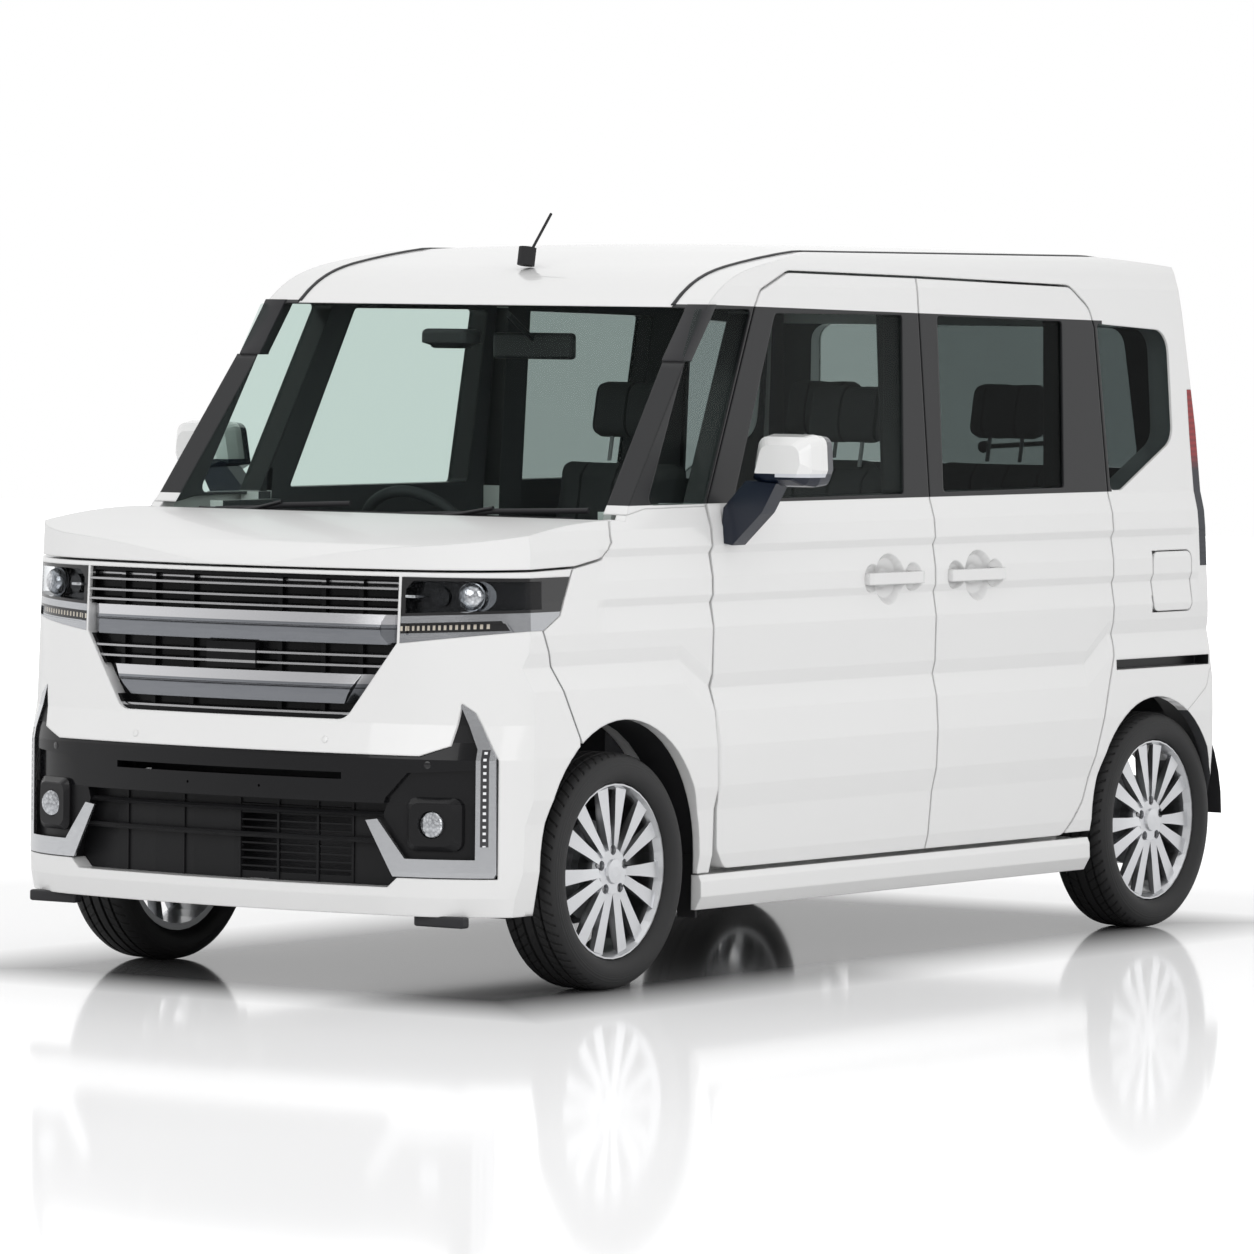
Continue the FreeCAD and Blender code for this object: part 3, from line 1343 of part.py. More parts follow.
def steering_wheel():
    # Rim of eight-sided section, hub, shaft and three spokes.
    axis = steering_spin()
    radius, thick = size("steering_wheel_radius"), 14
    ring_half = thick * 0.41
    outer = lathe([(-thick, radius + ring_half), (-ring_half, radius + thick), (ring_half, radius + thick),
                   (thick, radius + ring_half)], steering_centre, 32, axis)
    inner = lathe([(-thick, radius - ring_half), (-ring_half, radius - thick), (ring_half, radius - thick),
                   (thick, radius - ring_half)], steering_centre, 32, axis)
    hub = rod(steering_centre - axis * 28, steering_centre + axis * 12, 62)
    shaft = rod(steering_centre - axis * 80, steering_centre - axis * 20, 14, True)
    across = block(-radius + 6, radius - 6, -16, 16, -10, 6)
    down = block(-18, 18, -radius + 6, 0, -10, 6)
    spokes = across.fuse(down)
    spokes.Placement = FreeCAD.Placement(steering_centre, FreeCAD.Rotation(Vector(0, 0, 1), axis))
    return outer.cut(inner).multiFuse([hub, shaft, spokes])


def column():
    axis = steering_spin()
    tube = rod(steering_centre - axis * 300, steering_centre - axis * 70, 34)
    return tube.cut(rod(steering_centre - axis * 100, steering_centre - axis * 20, 14.4, True))


# Small outer pieces

def door_mirror():
    # A housing that swells from the front towards the glass, on a stalk from the door.
    rings = []
    for y, inset in ((-674, 26), (-650, 6), (-612, 0), (-562, 4)):
        low, high = 1182 + inset * 0.7, 1308 - inset
        line = [(782 + inset, low + 16), (812 + inset, low, 12), (948 - inset, low, 20), (963 - inset, low + 40),
                (958 - inset, high, 26), (800 + inset, high, 26)]
        ring = outline(line, on_front)
        ring.translate(Vector(0, y, 0))
        rings.append(ring)
    housing = Part.makeLoft(rings, True, True)
    hollow_back = slab([(796, 1200), (946, 1200), (944, 1292), (806, 1292)], on_front, -574, -540)
    stalk = slab([(706, 1046), (742, 1040), (826, 1120, 30), (866, 1190), (780, 1196), (716, 1130)], on_front, -668, -612)
    return housing.cut(hollow_back).fuse(stalk).cut(envelope)


def tail_lamp():
    line = [(632, 940, 10), (760, 940, 10), (740, 1400, 10), (618, 1400, 20)]
    zone = slab(line, on_front, 1560, half_length + 30)
    layer = envelope.cut(shell_behind(envelope, -34))
    return largest(layer.common(zone))


def rear_bumper():
    shell = envelope.common(rear_bumper_zone(size("trim_clearance"))).common(block(-800, 800, 1400, 1800, 196, 700))
    inner = shell_behind(envelope, -70).common(block(-660, 660, 1400, half_length, 0, 800))
    shell = shell.cut([inner] + [wheel_well(rear_axle, side) for side in (1, -1)])
    return shell.cut([arch_opening(rear_axle, side) for side in (1, -1)])


def side_skirt():
    line = [(700.5, sill - 92), (half_width - 26, sill - 92), (half_width - 8, sill - 60), (half_width - 9, sill - 24),
            (half_width - 16, sill - 8), (700.5, sill - 8)]
    return slab(line, on_front, front_axle + size("arch_radius") + 4, 1016)


def front_layer_screen(depth):
    moved = envelope.copy()
    moved.translate(Vector(0, depth * 0.79, -depth * 0.61))
    return envelope.cut(moved)


def windscreen():
    foot = size("screen_base") + 4 + size("trim_clearance")
    zone = slab(shrunk(screen_line, on_front, size("trim_clearance")), on_front, foot, -610)
    return largest(front_layer_screen(size("glass_thickness")).common(zone))


def tailgate_glass():
    zone = slab(shrunk(tailgate_window_line, on_front, size("trim_clearance")), on_front, 1300, half_length + 60)
    return largest(shell_behind(envelope, -5).cut(shell_behind(envelope, -10)).common(zone))


def fuel_lid():
    zone = slab(shrunk(fuel_lid_line, on_side, 0), on_side, 600, 800)
    inner = section_form.copy()
    inner.translate(Vector(-5, 0, 0))
    plate = largest(envelope.common(zone).cut(inner))
    bore = 3 + size("pin_clearance")
    plate = plate.cut([fuel_pivot(4.4, 835, 860), fuel_pivot(4.4, 942, 967)])
    for low, high in ((839, 850), (952, 963)):
        plate = plate.fuse(fuel_pivot(5.5, low, high)).cut(fuel_pivot(bore, low - 1, high + 1, True))
    return plate


# The sub-parts

side_frame = largest(body_frame().multiFuse(members()))
# The lid's front corner swings wider below the crease, where the side stands further out.
filler = slab(shrunk(fuel_lid_line, on_side, -gap / 2), on_side, 670, 800)
filler = filler.multiFuse([fuel_pivot(10.5, 823, 983), fuel_pivot(15, 823, 866)])
frame_left = largest(side_frame.cut(filler).multiFuse(fuel_hinge()))
piece("body_frame", Part.makeCompound([frame_left, mirrored(side_frame)]))
piece("front_frame", front_frame())
roof = largest(roof_panel())
piece("roof_panel", roof)
left_front_door, left_sliding_door = largest(front_door(1)), largest(sliding_door(1))
left_glass = side_glass(front_glass_line)
left_mirror = largest(door_mirror())
for name, place in (("left", lambda shape: shape), ("right", mirrored)):
    piece("front_door_" + name, place(left_front_door))
    piece("front_door_glass_" + name, place(left_glass))
    piece("door_mirror_" + name, place(left_mirror))
    piece("sliding_door_" + name, place(left_sliding_door))
piece("sliding_door_glass", pair(side_glass(sliding_glass_line)))
quarters = [side_glass(line) for line in (quarter_front_line, quarter_rear_line)]
piece("quarter_glass", Part.makeCompound(quarters + [mirrored(shape) for shape in quarters]))
piece("windscreen", windscreen())
piece("tailgate", largest(tailgate()))
piece("tailgate_glass", tailgate_glass())
piece("bonnet", largest(bonnet()))
piece("front_bumper", largest(front_bumper()))
left_lamp = largest(headlamp(1))
piece("headlamps", pair(left_lamp))
piece("headlamp_lenses", pair(headlamp_lens()))
piece("grille", grille())
piece("grille_bars", grille_bars())
piece("bumper_insert", bumper_insert())
piece("fog_trims", fog_trims())
piece("front_fenders", pair(largest(front_fender())))
piece("rear_bumper", largest(rear_bumper()))
piece("tail_lamps", pair(tail_lamp()))
piece("side_skirts", pair(side_skirt()))
piece("fuel_lid", fuel_lid())
piece("floor_pan", largest(floor_pan()))
piece("dashboard", dashboard().fuse(column()))
piece("steering_wheel", steering_wheel())
piece("front_seats", Part.makeCompound([seat(x, 60, size("floor_top")) for x in (335, -335)]))
piece("rear_seats", Part.makeCompound([seat(x, 960 - 60, size("floor_top")) for x in (290, -290)]))
left_knuckle = knuckle()
piece("knuckle_left", left_knuckle)
piece("knuckle_right", mirrored(left_knuckle))
piece("front_suspension", Part.makeCompound(front_suspension()))
piece("rear_axle", rear_axle_beam()[0].multiFuse(rear_axle_beam()[1:]))
for kind, front_left in (("tyre", tyre()), ("wheel", wheel())):
    rear_left = front_left.translated(Vector(0, size("wheel_base"), 0))
    for row, left in (("front", front_left), ("rear", rear_left)):
        piece(kind + "_" + row + "_left", left)
        piece(kind + "_" + row + "_right", mirrored(left))

engine = primitive("Box", "EngineBlock", ("-rail_inner", "engine_front", "engine_low"),
                   Length="2 * rail_inner", Width="engine_length", Height="engine_height")
keep("engine_block", engine)
core = primitive("Box", "RadiatorCore", ("-rail_inner", "radiator_front", "radiator_low"),
                 Length="2 * rail_inner", Width="radiator_depth", Height="radiator_height")
keep("radiator", core)
tank = primitive("Box", "TankBox", ("tank_left", "tank_front", "floor_top - floor_thickness - tank_height"),
                 Length="tank_width", Width="tank_length", Height="tank_height")
keep("fuel_tank", tank)
piece("exhaust", exhaust())
mast = rod((0, -478, size("roof_height") - 40), (0, -380, size("roof_height") + 68), 3.5)
base = rod((0, -486, size("roof_height") - 60), (0, -478, size("roof_height") - 16), 22)
piece("antenna", mast.fuse(base).cut(roof))
flap_back = front_axle + size("well_radius") - 1.8
flap = block(648, 700, flap_back - 8, flap_back, 150, 300)
piece("mud_flaps", pair(flap))


def checked_parts():
    doc.recompute()
    for item in doc.Objects:
        if "Invalid" in item.State or "Error" in item.State:
            raise RuntimeError(item.Label + " did not rebuild")
    for label, item in parts.items():
        if item.Shape.isNull() or not item.Shape.isValid():
            raise RuntimeError(label + " has no valid shape")
    return parts


os.makedirs("parts", exist_ok=True)
for label, item in checked_parts().items():
    item.Shape.exportStep("parts/" + label + ".step")
    print(label, "solids", len(item.Shape.Solids), "litres", round(item.Shape.Volume / 1e6, 2))
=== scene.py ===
import bmesh
import bpy
import math
from mathutils import Matrix, Vector


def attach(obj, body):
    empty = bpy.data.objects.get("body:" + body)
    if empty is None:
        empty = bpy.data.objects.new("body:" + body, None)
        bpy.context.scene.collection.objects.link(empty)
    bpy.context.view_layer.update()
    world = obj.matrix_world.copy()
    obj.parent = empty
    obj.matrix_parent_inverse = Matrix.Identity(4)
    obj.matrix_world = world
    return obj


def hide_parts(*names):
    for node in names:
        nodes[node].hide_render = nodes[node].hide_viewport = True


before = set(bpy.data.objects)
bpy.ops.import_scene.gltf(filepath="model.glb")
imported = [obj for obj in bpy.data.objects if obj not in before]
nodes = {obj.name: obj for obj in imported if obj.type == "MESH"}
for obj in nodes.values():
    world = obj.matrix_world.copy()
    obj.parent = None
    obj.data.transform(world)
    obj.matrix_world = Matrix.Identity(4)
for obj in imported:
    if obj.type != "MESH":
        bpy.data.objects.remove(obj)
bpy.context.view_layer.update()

scene = bpy.context.scene
print("frame loaded")


# shader helper
class Wire:
    # one shader socket; arithmetic on it adds Math nodes
    def __init__(self, tree, socket):
        self.tree = tree
        self.socket = socket

    def math(self, operation, *values, clamp=False):
        node = self.tree.nodes.new("ShaderNodeMath")
        node.operation = operation
        node.use_clamp = clamp
        for slot, value in zip(node.inputs, values):
            if isinstance(value, Wire):
                self.tree.links.new(value.socket, slot)
            else:
                slot.default_value = value
        return Wire(self.tree, node.outputs[0])

    def __add__(self, other):
        return self.math("ADD", self, other)

    def __radd__(self, other):
        return self.math("ADD", other, self)

    def __sub__(self, other):
        return self.math("SUBTRACT", self, other)

    def __rsub__(self, other):
        return self.math("SUBTRACT", other, self)

    def __mul__(self, other):
        return self.math("MULTIPLY", self, other)

    def __rmul__(self, other):
        return self.math("MULTIPLY", other, self)

    def over(self, limit, soft=0.0008):
        # 1 where the value is above the limit, with a narrow soft edge
        return self.math("MULTIPLY_ADD", self - limit, 1 / soft, 0.5, clamp=True)

    def under(self, limit, soft=0.0008):
        return self.math("MULTIPLY_ADD", self - limit, -1 / soft, 0.5, clamp=True)

    def between(self, low, high):
        return self.over(low) * self.under(high)

    def size(self):
        return self.math("ABSOLUTE", self)

    def sine(self):
        return self.math("SINE", self)

    def root(self):
        return self.math("SQRT", self)


class Finish:
    # a material under construction
    def __init__(self, name):
        self.material = bpy.data.materials.new(name)
        self.material.use_nodes = True
        self.tree = self.material.node_tree
        self.shader = self.tree.nodes["Principled BSDF"]
        self.output = self.tree.nodes["Material Output"]
        place = self.add("ShaderNodeTexCoord")
        self.place = place.outputs["Object"]
        parts = self.add("ShaderNodeSeparateXYZ", Vector=self.place)
        self.x, self.y, self.z = [Wire(self.tree, parts.outputs[i]) for i in range(3)]
        facing = self.add("ShaderNodeSeparateXYZ", Vector=place.outputs["Normal"])
        self.faceX, self.faceY, self.faceZ = [Wire(self.tree, facing.outputs[i]) for i in range(3)]

    def add(self, kind, settings=None, **sockets):
        node = self.tree.nodes.new(kind)
        for name, value in (settings or {}).items():
            setattr(node, name, value)
        for name, value in sockets.items():
            self.feed(node.inputs[name.replace("_", " ")], value)
        return node

    def feed(self, slot, value):
        if isinstance(value, Wire):
            value = value.socket
        if isinstance(value, bpy.types.NodeSocket):
            self.tree.links.new(value, slot)
        elif isinstance(value, tuple) and len(value) == 3 and slot.type == "RGBA":
            slot.default_value = (*value, 1)
        else:
            slot.default_value = value

    def set(self, **values):
        for name, value in values.items():
            self.feed(self.shader.inputs[name.replace("_", " ")], value)
        return self

    def noise(self, scale, detail=3.0, rough=0.55, stretch=(1, 1, 1)):
        place = self.place
        if stretch != (1, 1, 1):
            mapping = self.add("ShaderNodeMapping", Vector=place)
            mapping.inputs["Scale"].default_value = stretch
            place = mapping.outputs[0]
        node = self.add("ShaderNodeTexNoise", Vector=place, Scale=scale, Detail=detail, Roughness=rough)
        return Wire(self.tree, node.outputs["Fac"])

    def blend(self, factor, first, second):
        node = self.add("ShaderNodeMix", {"data_type": "RGBA"})
        self.feed(node.inputs[0], factor)
        self.feed(node.inputs[6], first)
        self.feed(node.inputs[7], second)
        return node.outputs[2]

    def mixed(self, factor, first, second):
        node = self.add("ShaderNodeMixShader")
        self.feed(node.inputs[0], factor)
        self.feed(node.inputs[1], first.outputs[0])
        self.feed(node.inputs[2], second.outputs[0])
        return node

    def show(self, node):
        # this node becomes what is seen, in place of the plain shader
        self.tree.links.new(node.outputs[0], self.output.inputs[0])
        return self.material

    def bump(self, height, strength=0.2, distance=0.001, edge=0.0):
        node = self.add("ShaderNodeBump", Height=height, Strength=strength, Distance=distance)
        if edge:
            rounded = self.add("ShaderNodeBevel", {"samples": 4}, Radius=edge)
            self.feed(node.inputs["Normal"], rounded.outputs[0])
        self.set(Normal=node.outputs[0])
        return self


def ease(wire, low, high):
    # a number that goes from low to high as the wire goes from 0 to 1
    return wire * (high - low) + low


def shaded(colour, share):
    return tuple(part * share for part in colour)


def either(*masks):
    # 1 where any of the masks is 1
    total = masks[0]
    for mask in masks[1:]:
        total = total.math("MAXIMUM", total, mask)
    return total


# camera, as the photograph was taken
view = {"place": (11.325, -16.4387, 1.6613), "yaw": 34.6155, "pitch": 2.4698, "roll": 0.5963,
        "focalPixels": 7948.1, "pictureWidth": 1254, "sensor": 36, "farthest": 200}
yaw, pitch, roll = [math.radians(view[name]) for name in ("yaw", "pitch", "roll")]
ahead = Vector((-math.sin(yaw) * math.cos(pitch), math.cos(yaw) * math.cos(pitch), -math.sin(pitch)))
flat = Vector((math.cos(yaw), math.sin(yaw), 0))
upward = flat.cross(ahead)
right = flat * math.cos(roll) + upward * math.sin(roll)
above = upward * math.cos(roll) - flat * math.sin(roll)
lens = bpy.data.cameras.new("camera")
lens.sensor_width = view["sensor"]
lens.lens = view["sensor"] * view["focalPixels"] / view["pictureWidth"]
lens.clip_end = view["farthest"]
camera = bpy.data.objects.new("camera", lens)
turn = Matrix((right, above, -ahead)).transposed().to_4x4()
camera.matrix_world = Matrix.Translation(view["place"]) @ turn
scene.collection.objects.link(camera)
scene.camera = camera
print("camera placed")


# paint, its black window band and the groove of the sliding door's rail
paint = {"white": (0.80, 0.80, 0.797), "cloud": 0.98, "roughness": 0.30, "vary": 0.03, "specular": 0.35,
         "coat": 0.7, "edge": 0.006}
blackBand = {"bottom": 1.1395, "top": 1.602, "fall": 0.019, "rear": 1.152, "side": 0.54,
             "black": (0.012, 0.0125, 0.014), "roughness": 0.34}
railGroove = {"low": 0.6800, "high": 0.7062, "front": 1.15, "inner": 0.6, "outer": 0.7285}
trimRoughness = 0.75
trimShade = ((0.045, 0.046, 0.05), (0.06, 0.061, 0.066))
linerShade = ((0.50, 0.50, 0.48), (0.56, 0.56, 0.54))


def windowBand(finish):
    across = finish.x.size()
    top = blackBand["top"] - finish.y * blackBand["fall"]
    high = finish.z.over(blackBand["bottom"]) * (top - finish.z).over(0)
    band = high * finish.y.under(blackBand["rear"]) * across.over(blackBand["side"])
    groove = finish.z.between(railGroove["low"], railGroove["high"]) * finish.y.over(railGroove["front"])
    return either(band, groove * across.between(railGroove["inner"], railGroove["outer"]))


def towardsCabin(finish):
    return (finish.faceX * finish.x).under(-0.12, 0.02)


def bodyPaint(name, black=None, inside=None, shades=trimShade, shine=1.0):
    finish = Finish(name)
    flake = finish.noise(900, 2)
    cloud = finish.noise(1.3, 2)
    colour = finish.blend(cloud, paint["white"], shaded(paint["white"], paint["cloud"]))
    rough = ease(flake, paint["roughness"] - paint["vary"], paint["roughness"] + paint["vary"])
    coat = None
    if black:
        mask = black(finish)
        colour = finish.blend(mask, colour, blackBand["black"])
        rough = rough * (1 - mask) + blackBand["roughness"] * mask
        coat = 1 - mask
    if inside:
        trim = inside(finish)
        grain = finish.noise(420, 4)
        colour = finish.blend(trim, colour, finish.blend(grain, *shades))
        rough = rough * (1 - trim) + trimRoughness * trim
        coat = (1 - trim) * coat if coat else 1 - trim
    lacquer = paint["coat"] * shine
    finish.set(Base_Color=colour, Roughness=rough, IOR=1.5, Specular_IOR_Level=paint["specular"] * shine)
    finish.set(Coat_Weight=coat * lacquer if coat else lacquer, Coat_Roughness=0.03)
    finish.bump(finish.noise(260, 1), 0.03, 0.0004, paint["edge"])
    return finish.material


def plastic(name, colour, rough=0.55, grain=700, depth=0.25, coat=0.0):
    finish = Finish(name)
    speck = finish.noise(grain, 5, 0.6)
    cloud = finish.noise(6, 2)
    lighter = tuple(min(1, c * 1.35 + 0.004) for c in colour)
    finish.set(Base_Color=finish.blend(cloud, colour, lighter), Specular_IOR_Level=0.3,
               Roughness=ease(speck, rough - 0.08, rough + 0.08), Coat_Weight=coat, Coat_Roughness=0.05)
    return finish.bump(speck, depth, 0.0006).material


def metal(name, colour, rough=0.2, grain=160, stretch=(1, 1, 1), metallic=1.0, depth=0.05):
    finish = Finish(name)
    streak = finish.noise(grain, 4, 0.6, stretch)
    finish.set(Base_Color=finish.blend(streak, colour, shaded(colour, 0.88)), Metallic=metallic,
               Roughness=ease(streak, rough - 0.05, rough + 0.08))
    return finish.bump(streak, depth, 0.0004).material


paneShade = (0.02, 0.022, 0.022)


def glass(name, tint, base, frontTint=None):
    # a see-through tint under a mirror layer that strengthens at glancing angles
    finish = Finish(name)
    clear = finish.add("ShaderNodeBsdfTransparent", Color=tint)
    if frontTint:
        front = finish.add("ShaderNodeBsdfTransparent", Color=frontTint)
        clear = finish.mixed(finish.y.under(0), clear, front)
    edge = Wire(finish.tree, finish.add("ShaderNodeLayerWeight", Blend=0.5).outputs["Facing"])
    factor = edge.math("POWER", edge, 5) * 0.8 + base
    haze = finish.noise(3, 2)
    finish.set(Base_Color=paneShade, Roughness=ease(haze, 0.01, 0.03), IOR=1.6)
    return finish.show(finish.mixed(factor, clear, finish.shader))


# lamps, grille, wheels and mirrors have a finish each, told apart by place
headlampPlan = {"stripTop": 0.889, "slope": 0.045, "inner": 0.474, "slotLow": 0.849, "slotHigh": 0.873,
                "slotEnd": 0.696, "slant": 0.5, "ledLow": 0.855, "ledHigh": 0.866, "ledEnd": 0.656,
                "ledPitch": 0.0125, "bulb": (0.612, 0.936), "ring": 0.036}


def headlampFinish():
    finish = Finish("headlampHousing")
    plan = headlampPlan
    across = finish.x.size()
    # heights are measured along the lamp's slope
    height = finish.z - (across - plan["inner"]) * plan["slope"]
    strip = height.under(plan["stripTop"])
    slot = height.between(plan["slotLow"], plan["slotHigh"])
    slot = slot * (across + (finish.z - plan["slotLow"]) * plan["slant"]).under(plan["slotEnd"])
    wave = (across * (math.tau / plan["ledPitch"])).sine().over(0.1, 0.2)
    leds = slot * wave * height.between(plan["ledLow"], plan["ledHigh"]) * across.under(plan["ledEnd"])
    dx = across - plan["bulb"][0]
    dz = finish.z - plan["bulb"][1]
    ring = (dx * dx + dz * dz).root().under(plan["ring"]) * (1 - strip)
    chrome = either(strip * (1 - slot), ring)
    brushed = finish.noise(90, 4, 0.6, (0.2, 1, 6))
    silver = finish.blend(brushed, (0.42, 0.43, 0.45), (0.56, 0.57, 0.59))
    colour = finish.blend(chrome, (0.010, 0.010, 0.011), silver)
    colour = finish.blend(leds, colour, (0.55, 0.50, 0.42))
    finish.set(Base_Color=colour, Metallic=chrome, Roughness=0.16 + brushed * 0.08)
    finish.set(Coat_Weight=0.2, Coat_Roughness=0.02)
    return finish.bump(brushed, 0.05, 0.0003).material


grillePlan = {"slats": (0.952, 0.926, 0.904, 0.795, 0.771, 0.659), "below": 0.0034, "above": 0.0026,
              "rim": (0.962, 0.966)}


def grilleFinish():
    finish = Finish("grilleBlack")
    lines = [(height - grillePlan["below"], height + grillePlan["above"]) for height in grillePlan["slats"]]
    bright = either(*[finish.z.between(*line) for line in [grillePlan["rim"], *lines]])
    bright = bright * finish.faceY.under(-0.35, 0.1)
    cloud = finish.noise(40, 3)
    base = finish.blend(cloud, (0.004, 0.004, 0.0045), (0.008, 0.008, 0.009))
    colour = finish.blend(bright, base, (0.50, 0.50, 0.51))
    finish.set(Base_Color=colour, Metallic=bright, Roughness=ease(cloud, 0.22, 0.34))
    finish.set(Specular_IOR_Level=0.15)
    return finish.bump(finish.noise(500, 3), 0.05, 0.0003).material


# heights and colours of the chrome bars' painted highlights and painted dark reflection lines; grey is the
# chrome's own tone
barPlan = {"lights": (0.868, 0.728), "lightHigh": 0.05, "grooves": (0.858, 0.718), "half": 0.0012,
           "grey": ((0.20, 0.21, 0.23), (0.30, 0.31, 0.33)), "light": (0.66, 0.66, 0.68)}


def barFinish():
    # painted light: the upper facets get a painted highlight, the lower ones stay grey, with a painted dark
    # reflection line along the middle
    finish = Finish("chromeBars")
    streak = finish.noise(120, 4, 0.6, (0.15, 1, 5))
    # painted highlight on the upper facets
    paintedHighlight = either(*[finish.z.between(low, low + barPlan["lightHigh"]) for low in barPlan["lights"]])
    colour = finish.blend(paintedHighlight, finish.blend(streak, *barPlan["grey"]), barPlan["light"])
    # painted dark reflection line, only on the faces that look forward
    line = either(*[(finish.z - middle).size().under(barPlan["half"]) for middle in barPlan["grooves"]])
    colour = finish.blend(line * finish.faceY.under(-0.5, 0.1), colour, (0.03, 0.03, 0.032))
    finish.set(Base_Color=colour, Metallic=0.95, Roughness=ease(streak, 0.12, 0.24))
    return finish.bump(streak, 0.04, 0.0003, 0.0015).material


trimPlan = {"ledLow": 0.36, "ledHigh": 0.585, "ledX": 0.668, "pitch": 0.0155, "halfChannel": 0.0075,
            "halfDot": 0.0028}


def fogTrimFinish():
    # bright angle, and above it the light strip with its row of dots
    finish = Finish("fogTrimBright")
    aside = (finish.x.size() - trimPlan["ledX"]).size()
    streak = finish.noise(60, 4, 0.6, (1, 1, 4))
    silver = finish.blend(streak, (0.50, 0.51, 0.53), (0.68, 0.69, 0.71))
    lit = finish.z.between(trimPlan["ledLow"], trimPlan["ledHigh"])
    channel = aside.under(trimPlan["halfChannel"], 0.001) * lit
    beat = (finish.z * (math.tau / trimPlan["pitch"])).sine().over(0.35, 0.2)
    dots = channel * beat * aside.under(trimPlan["halfDot"])
    colour = finish.blend(channel, silver, (0.03, 0.03, 0.034))
    colour = finish.blend(dots, colour, (0.85, 0.86, 0.88))
    finish.set(Base_Color=colour, Metallic=(1 - channel) * 0.95, Roughness=ease(streak, 0.12, 0.24))
    finish.set(Coat_Weight=0.5)
    return finish.bump(streak, 0.04, 0.0003).material


wheelPlan = {"x": 0.645, "front": -1.10, "rear": 1.36, "height": 0.281}


def aboutWheel(finish):
    # distance from the wheel's own axis and the angle round it, the same for both axles
    middle = (wheelPlan["front"] + wheelPlan["rear"]) / 2
    reach = (wheelPlan["rear"] - wheelPlan["front"]) / 2
    dy = (finish.y - middle).size() - reach
    dz = finish.z - wheelPlan["height"]
    return (dy * dy + dz * dz).root(), dz.math("ARCTAN2", dz, dy)


alloyPlan = {"face": 0.036, "lipRadius": 0.199, "lipDepth": 0.05}


def alloyFinish():
    # bright towards the outside and on the rim's lip, with painted shade making it dark deeper in
    finish = Finish("alloySilver")
    radius = aboutWheel(finish)[0]
    depth = finish.x.size() - wheelPlan["x"]
    face = depth.over(alloyPlan["face"], 0.012)
    grain = finish.noise(420, 4)
    lip = radius.over(alloyPlan["lipRadius"], 0.001) * depth.over(alloyPlan["lipDepth"], 0.004)
    bright = finish.blend(grain, (0.66, 0.67, 0.69), (0.74, 0.75, 0.77))
    # painted shade colour for the parts deeper in the wheel
    dark = finish.blend(grain, (0.16, 0.165, 0.17), (0.24, 0.245, 0.25))
    colour = finish.blend(either(face, lip), dark, bright)
    finish.set(Base_Color=colour, Metallic=0.9, Roughness=ease(grain, 0.24, 0.36))
    finish.set(Coat_Weight=0.6, Coat_Roughness=0.08)
    return finish.bump(grain, 0.06, 0.0003).material


treadPlan = {"radius": 0.2725, "sipes": 64, "slant": 150, "middle": 0.018, "ribs": 900,
             "ribbed": (0.247, 0.262)}


def tyreFinish():
    # cuts across the tread's shoulders, darkened with painted shade, and fine ribs on the wall
    finish = Finish("tyreRubber")
    radius, angle = aboutWheel(finish)
    across = (finish.x.size() - wheelPlan["x"]).size()
    tread = radius.over(treadPlan["radius"], 0.002)
    sweep = angle * treadPlan["sipes"] + across * treadPlan["slant"]
    sipes = sweep.sine().over(0.72, 0.25) * tread * across.over(treadPlan["middle"], 0.002)
    ribs = (radius * treadPlan["ribs"]).sine().over(0.2, 0.6) * radius.between(*treadPlan["ribbed"])
    speck = finish.noise(600, 5, 0.6)
    rubber = finish.blend(speck, (0.012, 0.012, 0.0125), (0.021, 0.021, 0.022))
    # painted shade: the sipes are darkened in colour as well as cut in by the bump
    colour = finish.blend(sipes, rubber, (0.004, 0.004, 0.004))
    finish.set(Base_Color=colour, Roughness=ease(speck, 0.55, 0.75))
    return finish.bump(speck * 0.25 + ribs * 0.4 - sipes * 3, 0.6, 0.002).material


mirrorPlan = {"capLow": 1.214, "capRear": -0.588, "pane": (-0.5765, -0.5705), "lampX": 0.866,
              "lamp": (1.206, 1.2145), "lampRear": -0.59, "base": (0.004, 0.008, 0.020)}


def doorMirrorFinish():
    finish = Finish("mirrorCap")
    cloud = finish.noise(2, 2)
    low = finish.z.under(mirrorPlan["capLow"])
    edge = finish.y.over(mirrorPlan["capRear"], 0.002)
    front, rear = mirrorPlan["pane"]
    pane = finish.y.over(front, 0.001) * finish.y.under(rear, 0.001) * finish.faceY.over(0.8, 0.1)
    strip = finish.x.size().over(mirrorPlan["lampX"]) * finish.z.between(*mirrorPlan["lamp"])
    strip = strip * finish.y.under(mirrorPlan["lampRear"])
    white = finish.blend(cloud, paint["white"], shaded(paint["white"], paint["cloud"]))
    colour = finish.blend(either(low, edge), white, mirrorPlan["base"])
    colour = finish.blend(strip, colour, (0.62, 0.64, 0.68))
    colour = finish.blend(pane, colour, (0.7, 0.72, 0.74))
    finish.set(Base_Color=colour, Metallic=pane, Roughness=(1 - pane) * 0.25 + 0.02)
    finish.set(Coat_Weight=(1 - low) * 0.9)
    return finish.bump(finish.noise(260, 1), 0.03, 0.0004).material


insertPlan = {"band": (0.457, 0.60), "fins": (0.02, 0.335), "finTop": 0.445}


